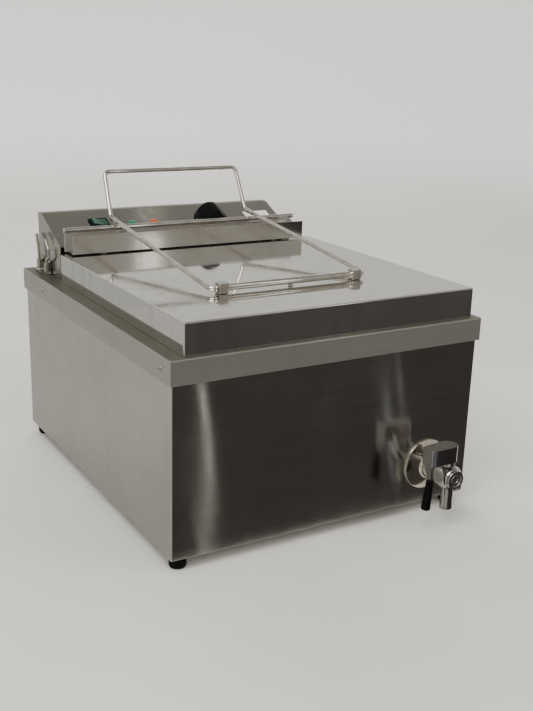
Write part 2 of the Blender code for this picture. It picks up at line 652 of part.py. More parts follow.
def make_knob(housing):
    """Thermostat knob: a skirt under a bell-shaped grip bar, on a shaft with its thermostat."""
    frame = slope_frame(CONSOLE_LEFT + KNOB_SHARE * (CONSOLE_RIGHT - CONSOLE_LEFT), KNOB_UP)
    float_height = 0.0008
    skirt = 0.0035
    side = KNOB_RADIUS - 0.002
    bell = [(side, skirt - 0.001), (side - 0.001, 0.006), (side - 0.004, 0.0105), (side - 0.0105, 0.0145),
            (0.0095, 0.019), (0.006, KNOB_HEIGHT - 0.002), (0.0045, KNOB_HEIGHT)]
    outline = bell + [(-x, z) for x, z in reversed(bell)]
    upright = Matrix.Rotation(math.pi / 2, 4, "X")
    grip = plate("knob_grip", outline, 2 * KNOB_RADIUS, frame @ upright)
    dome = turned("knob_dome", [(0, KNOB_HEIGHT + 0.001), (0.012, KNOB_HEIGHT), (0.018, KNOB_HEIGHT - 0.003),
                                (KNOB_RADIUS - 0.004, 0.012), (KNOB_RADIUS - 0.002, skirt),
                                (KNOB_RADIUS - 0.002, 0.001), (0, 0.001)], frame)
    boolean(grip, dome, "INTERSECT")
    disc = [(0, skirt), (KNOB_RADIUS - 0.001, skirt), (KNOB_RADIUS, skirt - 0.001),
            (KNOB_RADIUS, float_height), (0, float_height)]
    knob = turned("thermostat_knob", disc, frame, BLACK, 48)
    boolean(knob, grip, "UNION")
    socket = turned("knob_socket", [(0, 0.015), (KNOB_SHAFT + GAP, 0.015), (KNOB_SHAFT + GAP, -0.01),
                                    (0, -0.01)], frame, None, 24)
    boolean(knob, socket)
    hole = turned("shaft_hole", [(0, 0.01), (KNOB_SHAFT + 0.001, 0.01), (KNOB_SHAFT + 0.001, -0.01),
                                 (0, -0.01)], frame, None, 24)
    boolean(housing, hole)
    shaft = turned("thermostat_shaft", [(0, 0.0145), (KNOB_SHAFT, 0.0145), (KNOB_SHAFT, -0.008),
                                        (0, -0.008)], frame, BRASS, 24)
    body = local_box("thermostat_body", (0.034, 0.040, 0.022), CERAMIC,
                     frame @ Matrix.Translation((0, 0, -SHEET - GAP - 0.011)), 0.0015, "all", 2)
    bore = turned("thermostat_bore", [(0, 0.01), (KNOB_SHAFT + GAP, 0.01), (KNOB_SHAFT + GAP, -0.010),
                                      (0, -0.010)], frame, None, 24)
    boolean(body, bore)
    attach(knob, shaft)
    return frame


def make_sensor(deck, tank, thermostat):
    """Sensing bulb in the tank, with its thin capillary up to the thermostat."""
    radius = 0.0012
    x = CONSOLE_LEFT + KNOB_SHARE * (CONSOLE_RIGHT - CONSOLE_LEFT) + 0.012
    wall_height = DECK_TOP - ELEMENT_EXIT_DEPTH + CAPILLARY_RISE
    riser = CONSOLE_FRONT + SHEET + 0.010
    low = TANK_FLOOR + 0.070
    inside = TANK_REAR - 0.008
    top = (thermostat @ Vector((0.012, -0.010, -0.0245))) - place(0, 0, 0)
    route = [(x, inside, low), (x, inside, wall_height), (x, riser, wall_height), (x, riser, DECK_TOP + 0.012),
             (x, top.y, DECK_TOP + 0.018), (x, top.y, top.z - 0.001)]
    tube("thermostat_capillary", rounded_path([place(*point) for point in route], 0.006, 3), radius, BRASS,
         None, 1)
    bulb = [(0, 0.060), (0.0028, 0.0585), (0.0032, 0.056), (0.0032, 0.002), (0, 0)]
    turned("thermostat_bulb", bulb, Matrix.Translation(place(x, inside, low - 0.060 - GAP)), CHROME, 16)
    clear = radius + 0.0006
    boolean(tank, cylinder("capillary_hole_tank", clear, place(x, TANK_REAR - 0.006, wall_height),
                           place(x, TANK_REAR + 0.006, wall_height), None, 16))
    boolean(deck, cylinder("capillary_hole_deck", clear, place(x, riser, DECK_TOP - 0.006),
                           place(x, riser, DECK_TOP + 0.006), None, 16))


def make_label():
    frame = slope_frame(CONSOLE_RIGHT - LABEL_RIGHT, LABEL_UP)
    local_box("rating_label", (*LABEL_SIZE, 0.0005), WHITE, frame @ Matrix.Translation((0, 0, GAP + 0.00025)))


def make_wiring_parts():
    """Contactor, cut-out and terminal block on the deck, inside the console."""
    base = DECK_TOP + GAP
    middle = CONSOLE_FRONT + CONSOLE_DEPTH / 2
    box("contactor", (CONSOLE_LEFT + 0.020, middle - 0.020, base), (CONSOLE_LEFT + 0.062, middle + 0.020,
        base + 0.034), BLACK, 0.0015, "all", 2)
    block = box("terminal_block", (CONSOLE_LEFT + 0.105, middle - 0.010, base),
                (CONSOLE_LEFT + 0.165, middle + 0.010, base + 0.016), CERAMIC, 0.001, "all", 1)
    for index in range(5):
        x = CONSOLE_LEFT + 0.113 + index * 0.011
        boolean(block, cylinder(f"terminal_bore_{index + 1}", 0.0022, place(x, middle, base + 0.008),
                                place(x, middle, base + 0.03), None, 12))
    can = [(0, 0.018), (0.0085, 0.018), (0.0095, 0.016), (0.0095, 0.006), (0.013, 0.006), (0.013, 0), (0, 0)]
    turned("safety_cutout", can, Matrix.Translation(place(CONSOLE_RIGHT - 0.050, middle, base)), BLACK, 24)


def make_gland():
    radius = GLAND_RADIUS
    profile = [(0.0045, GLAND_REACH), (0.0065, GLAND_REACH), (0.0085, GLAND_REACH - 0.003), (0.0085, 0.006),
               (radius, 0.006), (radius, GAP), (radius * 0.7, GAP), (radius * 0.7, -0.012),
               (0.0045, -0.012)]
    seat = place(GLAND_LEFT, CABINET_DEPTH, GLAND_HEIGHT)
    turned("cable_gland", profile, Matrix.Translation(seat) @ towards((0, 1, 0)), BLACK, 24, True)


def make_side_hooks():
    """Two bent-wire hooks in ferrules, held by a small folded bracket beside the console."""
    base = DECK_TOP + GAP
    wall = CONSOLE_LEFT - GAP
    front = CONSOLE_FRONT + HOOK_BRACKET_START
    rear = front + HOOK_BRACKET_LENGTH
    flange = wall - HOOK_BRACKET_FLANGE
    bracket = box("hook_bracket", (flange, front, base), (wall, rear, base + HOOK_BRACKET_HEIGHT), STEEL,
                  0.001, "all", 1)
    hollow = box("hook_bracket_hollow", (flange - 0.01, front - 0.01, base + SHEET),
                 (wall - SHEET, rear + 0.01, base + HOOK_BRACKET_HEIGHT + 0.01))
    boolean(bracket, hollow)
    x = wall - SHEET - GAP - FERRULE_RADIUS
    foot = DECK_TOP + 0.0035
    for name, start, bends in HOOK_ROUTES:
        y = CONSOLE_FRONT + start
        points = [place(x, y, foot)]
        for back, up in bends:
            points.append(place(x, y + back, DECK_TOP + up))
        tube(f"hook_wire_{name}", rounded_path(points, 0.005, 3), HOOK_WIRE, WIRE)
        bore = HOOK_WIRE + GAP
        ring = [(bore, FERRULE_HEIGHT), (FERRULE_RADIUS, FERRULE_HEIGHT), (FERRULE_RADIUS, 0), (bore, 0)]
        turned(f"hook_ferrule_{name}", ring, Matrix.Translation(place(x, y, foot)), CHROME, 16, True)


# ------------------------------------------------------------------ lid and bail
def make_lid():
    base = DECK_TOP + GAP
    right = CABINET_WIDTH - LID_RIGHT_MARGIN
    lid = box("lid_shell", (LID_LEFT_MARGIN, LID_FRONT_MARGIN, base), (right, LID_REAR, LID_TOP), STEEL,
              FOLD, "top")
    hollow = box("lid_hollow", (LID_LEFT_MARGIN + SHEET, LID_FRONT_MARGIN + SHEET, base - 0.01),
                 (right - SHEET, LID_REAR - SHEET, LID_TOP - SHEET), None, FOLD - SHEET, "top")
    boolean(lid, hollow)
    return lid


def make_guard(lid):
    """Folded splash guard across the lid's rear edge, with an upright plate and a round rail behind."""
    left = GUARD_SIDE_MARGIN
    right = CABINET_WIDTH - GUARD_SIDE_MARGIN
    plate_rear = CONSOLE_FRONT - RAIL_REAR_GAP
    plate_front = plate_rear - SHEET
    rear = plate_front - GAP
    front = rear - GUARD_DEPTH
    low = LID_TOP + GUARD_LIFT
    profile = [(front, low), (rear, low), (rear, low + SHEET), (front + SHEET, low + SHEET),
               (front + SHEET, low + GUARD_HEIGHT), (front, low + GUARD_HEIGHT)]
    guard = side_plate("splash_guard", profile, left, right, STEEL)
    pieces = [guard]
    spacer_y = (front + LID_REAR) / 2
    height = GUARD_LIFT - 2 * GAP
    for name, x in (("left", left + 0.050), ("right", right - 0.050)):
        profile = [(0, height), (0.0055, height), (0.0055, 0), (0, 0)]
        pieces.append(turned(f"guard_spacer_{name}", profile,
                             Matrix.Translation(place(x, spacer_y, LID_TOP + GAP)), STEEL, 16))
    start = place(RAIL_LEFT_MARGIN, 0, low)
    end = place(CABINET_WIDTH - RAIL_RIGHT_MARGIN, 0, low)
    high = start.z + RAIL_PLATE_HEIGHT
    corners = [(start.x, start.z, 0), (start.x, high, 0), (end.x, high, 0), (end.x, start.z, 0)]
    outline = rounded_path(corners, RAIL_PLATE_CORNER, 4)
    upright = Matrix.Rotation(math.pi / 2, 4, "X")
    middle = (plate_front + plate_rear) / 2
    pieces.append(plate("rail_plate", [(x, z) for x, z, _ in outline], SHEET,
                        Matrix.Translation((0, FRONT + middle, 0)) @ upright, STEEL))
    rail_height = low + RAIL_PLATE_HEIGHT + GAP + RAIL_RADIUS
    pieces.append(cylinder("rear_rail", RAIL_RADIUS, place(RAIL_LEFT_MARGIN, middle, rail_height),
                           place(CABINET_WIDTH - RAIL_RIGHT_MARGIN, middle, rail_height), WIRE, 20))
    attach(lid, *pieces)
    return middle


def make_bail(lid, rail_y):
    """Wire bail whose inward-turned ends pivot in two blocks and a tube on the lid."""
    hinge_y = LID_FRONT_MARGIN + BAIL_SETBACK
    hinge_z = LID_TOP + GAP + HINGE_BLOCK / 2
    left = BAIL_CENTRE_LEFT - BAIL_SPAN / 2
    right = BAIL_CENTRE_LEFT + BAIL_SPAN / 2
    hinge = place(BAIL_CENTRE_LEFT, hinge_y, hinge_z)
    kink_y = rail_y + BAIL_KINK_BEHIND_RAIL - hinge_y
    half = BAIL_SPAN / 2
    bend = half - BAIL_ARM_TAPER
    top = bend - BAIL_TOP_TAPER
    end = half - HINGE_BLOCK_INSET - HINGE_BLOCK / 2 - 0.012
    side = [(end, 0, 0), (half, 0, 0), (bend, kink_y, BAIL_KINK_RISE),
            (top, kink_y + BAIL_TOP_LEAN, BAIL_KINK_RISE + BAIL_TOP_RISE)]
    corners = [(-x, y, z) for x, y, z in side] + list(reversed(side))
    path = rounded_path(corners, 0.0085, 4)
    bail = tube("bail", path, BAIL_RADIUS, WIRE, Matrix.Translation(hinge))
    pieces = [bail]
    bore = BAIL_RADIUS + HINGE_RUNNING
    for name, x in (("left", left + HINGE_BLOCK_INSET), ("right", right - HINGE_BLOCK_INSET)):
        centre = place(x, hinge_y, hinge_z)
        block = local_box(f"hinge_block_{name}", (HINGE_BLOCK,) * 3, STEEL, Matrix.Translation(centre),
                          0.001, "all", 2)
        boolean(block, cylinder(f"block_bore_{name}", bore, centre - Vector((0.02, 0, 0)),
                                centre + Vector((0.02, 0, 0)), None, 24))
        pieces.append(block)
    length = BAIL_SPAN - 2 * HINGE_BLOCK_INSET - HINGE_BLOCK - 2 * GAP
    ring = [(bore, length / 2), (HINGE_TUBE_RADIUS, length / 2), (HINGE_TUBE_RADIUS, -length / 2),
            (bore, -length / 2)]
    pieces.append(turned("hinge_tube", ring, Matrix.Translation(hinge) @ towards((1, 0, 0)), WIRE, 24, True))
    gap = HINGE_BLOCK / 2 - HINGE_TUBE_RADIUS
    lug = local_box("hinge_tube_lug", (0.005, 0.006, gap - GAP), STEEL,
                    Matrix.Translation(hinge - Vector((0, 0, HINGE_TUBE_RADIUS + GAP + (gap - GAP) / 2))))
    pieces.append(lug)
    attach(lid, *pieces)


# ------------------------------------------------------------------ drain tap
def tap_frame():
    """Frame on the tap's level axis at the cabinet's face: local Z runs out to the front."""
    return Matrix.Translation(place(TAP_X, 0, TAP_HEIGHT)) @ Matrix.Rotation(math.pi / 2, 4, "X")


def stem_frame():
    """Frame where the stem's upright axis crosses the tap's level axis."""
    return Matrix.Translation(place(TAP_X, -TAP_STEM_REACH, TAP_HEIGHT))


def make_drain_pipe():
    """Flanged pipe from the tank's wall out through the cabinet, with its nut."""
    frame = tap_frame()
    inner = -TANK_FRONT
    outer = ROSETTE_HEIGHT - 0.003
    profile = [(PIPE_BORE, outer), (PIPE_RADIUS, outer), (PIPE_RADIUS, inner - GAP),
               (PIPE_RADIUS + PIPE_FLANGE, inner - GAP), (PIPE_RADIUS + PIPE_FLANGE, inner - 0.002),
               (PIPE_BORE, inner - 0.002)]
    turned("drain_pipe", profile, frame, CHROME, 32, True)
    wall = inner + SHEET + GAP
    nut("drain_nut", PIPE_RADIUS + GAP, PIPE_RADIUS + PIPE_NUT, 0.006,
        frame @ Matrix.Translation((0, 0, wall)), BRASS)


def make_rosette():
    bore = PIPE_RADIUS + GAP
    profile = [(bore, ROSETTE_HEIGHT), (ROSETTE_NECK - 0.001, ROSETTE_HEIGHT),
               (ROSETTE_NECK, ROSETTE_HEIGHT - 0.001), (ROSETTE_NECK + 0.001, ROSETTE_HEIGHT - 0.0035),
               (ROSETTE_RADIUS - 0.003, 0.0035), (ROSETTE_RADIUS, 0.002), (ROSETTE_RADIUS, GAP), (bore, GAP)]
    turned("tap_rosette", profile, tap_frame(), CHROME, 48, True)


def make_tap_body():
    """Turned body with a neck, a ball chamber and a boss for the stem."""
    frame = tap_frame()
    start = ROSETTE_HEIGHT + GAP
    front = TAP_REACH - 0.004
    chamber = BALL_RADIUS + GAP
    back = TAP_STEM_REACH - BALL_RADIUS - 0.001
    profile = [(chamber, front), (CAP_RADIUS, front), (BARREL_RADIUS, front - 0.005),
               (BARREL_RADIUS, back - 0.003), (BARREL_RADIUS - 0.002, back - 0.006),
               (BARREL_RADIUS - 0.002, start + 0.006), (ROSETTE_NECK - 0.002, start + 0.002),
               (ROSETTE_NECK - 0.002, start), (PIPE_BORE, start), (PIPE_BORE, back), (chamber, back)]
    body = turned("tap_body", profile, frame, CHROME, 36, True)
    stem = stem_frame()
    boss_top = HOOD_BOTTOM - 0.001
    boss = turned("tap_boss", [(0, boss_top), (0.0075, boss_top), (0.0075, 0.011), (0, 0.011)], stem)
    boolean(body, boss, "UNION")
    passage = turned("stem_passage", [(0, boss_top + 0.01), (STEM_RADIUS + GAP, boss_top + 0.01),
                                      (STEM_RADIUS + GAP, 0), (0, 0)], stem, None, 24)
    boolean(body, passage)
    outlet = turned("spout_passage", [(0, 0), (SPOUT_BORE, 0), (SPOUT_BORE, -0.02), (0, -0.02)], stem, None,
                    24)
    boolean(body, outlet)


def make_tap_cap():
    front = TAP_REACH
    profile = [(0, front - 0.0015), (0.004, front - 0.0015), (0.004, front - 0.0005), (0.0065, front - 0.0005),
               (0.0065, front - 0.0015), (0.009, front - 0.0015), (0.009, front - 0.0005),
               (0.0105, front), (CAP_RADIUS - 0.0006, front), (CAP_RADIUS, front - 0.0008),
               (CAP_RADIUS, front - 0.004 + GAP), (0, front - 0.004 + GAP)]
    turned("tap_cap", profile, tap_frame(), CHROME, 36)


def make_spout():
    """Flared spout whose upper end fits round the barrel."""
    top = -BARREL_RADIUS + 0.003
    neck = SPOUT_RADIUS - 0.0006
    profile = [(SPOUT_BORE, top), (neck, top), (neck, -SPOUT_DROP + 0.012),
               (SPOUT_RADIUS, -SPOUT_DROP + 0.001), (SPOUT_RADIUS - 0.0005, -SPOUT_DROP),
               (SPOUT_BORE, -SPOUT_DROP)]
    spout = turned("tap_spout", profile, stem_frame(), CHROME, 32, True)
    seat = turned("spout_seat", [(0, TAP_REACH + 0.01), (BARREL_RADIUS + GAP, TAP_REACH + 0.01),
                                 (BARREL_RADIUS + GAP, 0.005), (0, 0.005)], tap_frame(), None, 36)
    boolean(spout, seat)


def make_valve():
    """Ball with an elbow passage, turned by a stem: the rest state is closed."""
    frame = stem_frame()
    last = 12
    profile = [(0, BALL_RADIUS)]
    for step in range(1, last):
        angle = math.pi * step / last
        profile.append((BALL_RADIUS * math.sin(angle), BALL_RADIUS * math.cos(angle)))
    profile.append((0, -BALL_RADIUS))
    ball = turned("tap_ball", profile, frame, CHROME, 24)
    across = cylinder("ball_port_side", SPOUT_BORE - 0.001, frame.translation,
                      frame.translation + Vector((0.02, 0, 0)), None, 20)
    down = cylinder("ball_port_down", SPOUT_BORE - 0.0005, frame.translation + Vector((0, 0, 0.001)),
                    frame.translation - Vector((0, 0, 0.02)), None, 20)
    boolean(ball, across)
    boolean(ball, down)
    socket_floor = BALL_RADIUS - 0.003
    slot = turned("stem_slot", [(0, 0.02), (STEM_RADIUS + GAP, 0.02), (STEM_RADIUS + GAP, socket_floor),
                                (0, socket_floor)], frame, None, 24)
    boolean(ball, slot)
    top = HOOD_BOTTOM + 0.012
    stem = turned("tap_stem", [(0, top), (STEM_RADIUS, top), (STEM_RADIUS, socket_floor + GAP),
                               (0, socket_floor + GAP)], frame, BRASS, 24)
    return ball, stem


def make_lever():
    """Hood that turns on the stem, with a bar down its far end into the grip."""
    frame = stem_frame()
    far = -LEVER_REACH
    steps = 12
    outline = [(HOOD_NEAR + HOOD_RADIUS * math.sin(math.pi * i / steps),
                -HOOD_RADIUS * math.cos(math.pi * i / steps)) for i in range(steps + 1)]
    flat = HOOD_FAR_WIDTH - HOOD_RADIUS
    outline += [(far + 0.001, flat), (far, flat - 0.001), (far, -HOOD_RADIUS + 0.001),
                (far + 0.001, -HOOD_RADIUS)]
    hood = plate("tap_lever", outline, HOOD_HEIGHT,
                 frame @ Matrix.Translation((0, 0, HOOD_BOTTOM + HOOD_HEIGHT / 2)), CHROME)
    low = GRIP_TOP - 0.001
    wide = [(-HOOD_RADIUS + 0.002, HOOD_BOTTOM + 0.004), (-GRIP_OFFSET - 0.0035, low),
            (-GRIP_OFFSET + 0.0035, low), (HOOD_RADIUS - 0.007, HOOD_BOTTOM + 0.004)]
    upright = Matrix(((0, 0, 1, 0), (1, 0, 0, 0), (0, 1, 0, 0), (0, 0, 0, 1)))
    bar = plate("lever_bar", wide, LEVER_BAR, frame @ Matrix.Translation((far + LEVER_BAR / 2, 0, 0)) @ upright)
    boolean(hood, bar, "UNION")
    middle = frame @ Matrix.Translation((far + LEVER_BAR / 2, -GRIP_OFFSET, low))
    middle = middle @ Matrix.Rotation(GRIP_LEAN, 4, "Y")
    pin = 0.002
    tang = turned("lever_tang", [(0, 0.004), (pin, 0.004), (pin, -0.020), (0, -0.020)], middle, None, 16)
    boolean(hood, tang, "UNION")
    socket = turned("lever_socket", [(0, HOOD_BOTTOM + 0.0125), (STEM_RADIUS + GAP, HOOD_BOTTOM + 0.0125),
                                     (STEM_RADIUS + GAP, HOOD_BOTTOM - 0.01), (0, HOOD_BOTTOM - 0.01)],
                    frame, None, 24)
    boolean(hood, socket)
    shoulder = 0.0008
    top = -shoulder
    end = top - GRIP_LENGTH
    bore = pin + GAP
    profile = [(0, top), (GRIP_RADII[0] - shoulder, top), (GRIP_RADII[0], top - shoulder),
               (GRIP_RADII[1], end + 0.0015), (GRIP_RADII[1] - 0.001, end), (0, end)]
    grip = turned("tap_grip", profile, middle, BLACK, 24)
    grip_bore = turned("grip_bore", [(0, 0.01), (bore, 0.01), (bore, -0.021), (0, -0.021)], middle, None, 16)
    boolean(grip, grip_bore)
    return hood, grip


def make_tap():
    make_drain_pipe()
    make_rosette()
    make_tap_body()
    make_tap_cap()
    make_spout()
    ball, stem = make_valve()
    lever, grip = make_lever()
    attach(lever, ball, stem, grip)


def build():
    wrap = make_cabinet()
    deck = make_deck()
    make_deck_screws(deck, wrap)
    tank = make_tank()
    make_heating(tank)
    make_grid()
    housing = make_console()
    make_switch(housing)
    make_lamps(housing)
    thermostat = make_knob(housing)
    make_sensor(deck, tank, thermostat)
    make_label()
    make_wiring_parts()
    make_gland()
    make_side_hooks()
    lid = make_lid()
    rail_y = make_guard(lid)
    make_bail(lid, rail_y)
    make_tap()


clear_scene()
PARTS = new_collection("deep_fryer")
CUTTERS = new_collection("cutters")
build()
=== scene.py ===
# %% [markdown]
# A countertop fryer: a folded stainless cabinet, a lift-off lid with a wire bail, a sloping
# console and a drain tap. The CAD frame gives every place and size. This lesson gives each
# piece its finished edges, its metal, plastic or rubber, and the light that makes steel look
# like steel. Metal has hardly a colour of its own, so most of the look is what it mirrors.

import json
import math

import bmesh
import bpy
from mathutils import Matrix, Vector


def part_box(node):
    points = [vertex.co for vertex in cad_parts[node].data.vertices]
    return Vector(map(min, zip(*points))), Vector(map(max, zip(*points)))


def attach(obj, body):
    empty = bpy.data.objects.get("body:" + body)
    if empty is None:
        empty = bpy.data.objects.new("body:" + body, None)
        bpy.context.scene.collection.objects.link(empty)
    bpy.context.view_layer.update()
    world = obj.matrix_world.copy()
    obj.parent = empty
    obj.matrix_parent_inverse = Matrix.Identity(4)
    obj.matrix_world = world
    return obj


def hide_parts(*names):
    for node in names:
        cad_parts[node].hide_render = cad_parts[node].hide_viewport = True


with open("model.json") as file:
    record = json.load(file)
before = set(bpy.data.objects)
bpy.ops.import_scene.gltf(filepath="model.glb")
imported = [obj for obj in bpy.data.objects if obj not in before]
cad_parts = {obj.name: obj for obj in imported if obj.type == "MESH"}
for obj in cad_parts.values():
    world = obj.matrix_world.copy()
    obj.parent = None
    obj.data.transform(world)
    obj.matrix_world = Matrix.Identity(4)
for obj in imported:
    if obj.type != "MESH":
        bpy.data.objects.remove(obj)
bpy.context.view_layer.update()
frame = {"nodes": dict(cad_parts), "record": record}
record = frame["record"]
NODES = frame["nodes"]
BODY = {node: body for body, nodes in record["behaviour"]["bodies"].items() for node in nodes}

# %% [markdown]
# The camera stands to the front left, a little above the lid, and looks down at the fryer. Its
# axes are written out, so that the view is exact: right, up and backwards are the columns of
# the camera's matrix.

# %% Camera
CAMERA_AT = Vector((-0.6747, -1.19435, 0.6008))
CAMERA_RIGHT = Vector((0.86206, -0.50599, 0.02877))
CAMERA_UP = Vector((0.1254, 0.2680, 0.9552))
CAMERA_BACK = Vector((-0.49104, -0.81984, 0.29453))
FILM_HEIGHT = 36.0
FOCAL_LENGTH = 50.26


def add(name, data):
    """Link a new object to the scene."""
    made = bpy.data.objects.new(name, data)
    bpy.context.scene.collection.objects.link(made)
    return made


def axes_matrix(right, up, back, place):
    """A matrix from three axes and a place."""
    turn = Matrix((right, up, back)).transposed().to_4x4()
    return Matrix.Translation(place) @ turn


lens = bpy.data.cameras.new("camera")
lens.sensor_fit = "VERTICAL"
lens.sensor_height = FILM_HEIGHT
lens.lens = FOCAL_LENGTH
lens.clip_start = 0.05
camera = add("camera", lens)
camera.matrix_world = axes_matrix(CAMERA_RIGHT, CAMERA_UP, CAMERA_BACK, CAMERA_AT)
bpy.context.scene.camera = camera
print("camera:", tuple(round(v, 3) for v in CAMERA_AT))

# %% [markdown]
# Node trees are easier to read when a node, its settings and its inputs are one call. An input
# is either a value or another node's output, which is then linked.

# %% A helper for node trees
def node(tree, kind, inputs=None, **settings):
    """Add a node, set its settings, and set or link its inputs."""
    made = tree.nodes.new(kind)
    for key, value in settings.items():
        setattr(made, key, value)
    for key, value in (inputs or {}).items():
        if isinstance(value, bpy.types.NodeSocket):
            tree.links.new(value, made.inputs[key])
        else:
            made.inputs[key].default_value = value
    return made


def maths(tree, operation, a, b=0.0, clamp=False):
    """One Math node's output."""
    return node(tree, "ShaderNodeMath", {0: a, 1: b}, operation=operation, use_clamp=clamp).outputs[0]


def spread(tree, value, low, high):
    """A value's range from low to high, mapped smoothly to 0 to 1."""
    inputs = {"Value": value, "From Min": low, "From Max": high}
    return node(tree, "ShaderNodeMapRange", inputs, interpolation_type="SMOOTHSTEP").outputs[0]


def mix_colour(tree, factor, a, b):
    """Colour a where the factor is 0, colour b where it is 1."""
    # The Mix node's colour sockets are inputs 6 and 7, and its mixed colour is output 2.
    made = node(tree, "ShaderNodeMix", data_type="RGBA")
    for index, value in ((0, factor), (6, a), (7, b)):
        if isinstance(value, bpy.types.NodeSocket):
            tree.links.new(value, made.inputs[index])
        elif index:
            made.inputs[index].default_value = (*value, 1.0)
        else:
            made.inputs[index].default_value = value
    return made.outputs[2]


def new_group(name, inputs, outputs):
    """An empty shader node group with named sockets, and its two end nodes."""
    tree = bpy.data.node_groups.new(name, "ShaderNodeTree")
    for socket, kind, value in inputs:
        made = tree.interface.new_socket(socket, in_out="INPUT", socket_type=kind)
        made.default_value = value
    for socket, kind in outputs:
        tree.interface.new_socket(socket, in_out="OUTPUT", socket_type=kind)
    start = tree.nodes.new("NodeGroupInput")
    end = tree.nodes.new("NodeGroupOutput")
    return tree, start.outputs, end.inputs


FLOAT = "NodeSocketFloat"
print("helpers ready")

# %% [markdown]
# Brushed steel has long fine scratches in one direction. Noise stretched along that direction
# and squeezed across it gives them. On upright walls the scratches run level, so the noise is
# squeezed in Z. On level faces it is squeezed in Y. The face's own normal picks which.

# %% Brushed grain group
GRAIN, given, out = new_group("brushed grain", [("Along", FLOAT, 14.0), ("Across", FLOAT, 900.0)],
                              [("Streak", FLOAT), ("Height", FLOAT)])
place = node(GRAIN, "ShaderNodeTexCoord").outputs["Object"]
face = node(GRAIN, "ShaderNodeNewGeometry").outputs["True Normal"]
level = node(GRAIN, "ShaderNodeSeparateXYZ", {0: face}).outputs["Z"]
level = maths(GRAIN, "GREATER_THAN", maths(GRAIN, "ABSOLUTE", level), 0.85)
upright = node(GRAIN, "ShaderNodeCombineXYZ", {0: given[0], 1: given[0], 2: given[1]}).outputs[0]
flat = node(GRAIN, "ShaderNodeCombineXYZ", {0: given[0], 1: given[1], 2: given[0]}).outputs[0]
scale = node(GRAIN, "ShaderNodeMix", {0: level, 4: upright, 5: flat}, data_type="VECTOR").outputs[1]
where = node(GRAIN, "ShaderNodeVectorMath", {0: place, 1: scale}, operation="MULTIPLY").outputs[0]
fine = node(GRAIN, "ShaderNodeTexNoise", {"Vector": where, "Scale": 1.0, "Detail": 3.0,
                                          "Roughness": 0.6}).outputs[0]
GRAIN.links.new(spread(GRAIN, fine, 0.3, 0.7), out["Streak"])
GRAIN.links.new(fine, out["Height"])
print("group:", GRAIN.name)

# %% [markdown]
# Steel in a kitchen is wiped but never clean. Wide soft clouds of grease change how sharply it
# mirrors, and runs of dried liquid leave upright streaks. One group gives both as masks.

# %% Smudge group
SMUDGE, given, out = new_group("smudges", [("Cloud Scale", FLOAT, 9.0), ("Run Scale", FLOAT, 60.0)],
                               [("Clouds", FLOAT), ("Runs", FLOAT), ("Specks", FLOAT)])
place = node(SMUDGE, "ShaderNodeTexCoord").outputs["Object"]
clouds = node(SMUDGE, "ShaderNodeTexNoise", {"Vector": place, "Scale": given[0], "Detail": 5.0,
                                             "Roughness": 0.62, "Distortion": 0.6}).outputs[0]
TALL = (1.0, 1.0, 0.09)
tall = node(SMUDGE, "ShaderNodeVectorMath", {0: place, 1: TALL}, operation="MULTIPLY").outputs[0]
runs = node(SMUDGE, "ShaderNodeTexNoise", {"Vector": tall, "Scale": given[1], "Detail": 4.0,
                                           "Roughness": 0.55, "Distortion": 0.4}).outputs[0]
specks = node(SMUDGE, "ShaderNodeTexNoise", {"Vector": place, "Scale": 420.0, "Detail": 2.0}).outputs[0]
SMUDGE.links.new(spread(SMUDGE, clouds, 0.38, 0.66), out["Clouds"])
SMUDGE.links.new(spread(SMUDGE, runs, 0.48, 0.72), out["Runs"])
SMUDGE.links.new(spread(SMUDGE, specks, 0.66, 0.76), out["Specks"])
print("group:", SMUDGE.name)

# %% [markdown]
# Handling polishes edges. The Bevel node gives the normal that a rounded edge would have. Where
# it turns away from the real normal there is an edge, and some noise breaks the line up.

# %% Edge wear group
WEAR, given, out = new_group("edge wear", [("Width", FLOAT, 0.0012), ("Amount", FLOAT, 1.0)],
                             [("Mask", FLOAT)])
rounded = node(WEAR, "ShaderNodeBevel", {"Radius": given[0]}, samples=4).outputs[0]
face = node(WEAR, "ShaderNodeNewGeometry").outputs["Normal"]
agree = node(WEAR, "ShaderNodeVectorMath", {0: rounded, 1: face}, operation="DOT_PRODUCT").outputs["Value"]
edge = spread(WEAR, maths(WEAR, "SUBTRACT", 1.0, agree), 0.01, 0.18)
place = node(WEAR, "ShaderNodeTexCoord").outputs["Object"]
broken = node(WEAR, "ShaderNodeTexNoise", {"Vector": place, "Scale": 140.0, "Detail": 4.0}).outputs[0]
mask = maths(WEAR, "MULTIPLY", edge, spread(WEAR, broken, 0.35, 0.6))
WEAR.links.new(maths(WEAR, "MULTIPLY", mask, given[1], True), out["Mask"])
print("group:", WEAR.name)

# %% [markdown]
# All the sheet steel comes from one maker function, and each sheet gets its own numbers: how
# rough it is, how strongly it is brushed, and how smudged. The tangent runs along the scratches,
# and a quarter turn then stretches the highlights across them, as on real brushed steel.

# %% Material helpers
def new_material(name, roughness, metallic=0.0, **sockets):
    """A material with a plain Principled shader, and that shader."""
    made = bpy.data.materials.new(name)
    made.use_nodes = True
    shader = made.node_tree.nodes["Principled BSDF"]
    shader.inputs["Roughness"].default_value = roughness
    shader.inputs["Metallic"].default_value = metallic
    for key, value in sockets.items():
        shader.inputs[key.replace("_", " ")].default_value = value
    return made, shader


def use_group(tree, group, **inputs):
    """Place a group and set its inputs."""
    made = node(tree, "ShaderNodeGroup", node_tree=group)
    for key, value in inputs.items():
        made.inputs[key.replace("_", " ")].default_value = value
    return made.outputs


def object_place(tree):
    """The place on the object, in metres."""
    return node(tree, "ShaderNodeTexCoord").outputs["Object"]


print("material helpers ready")

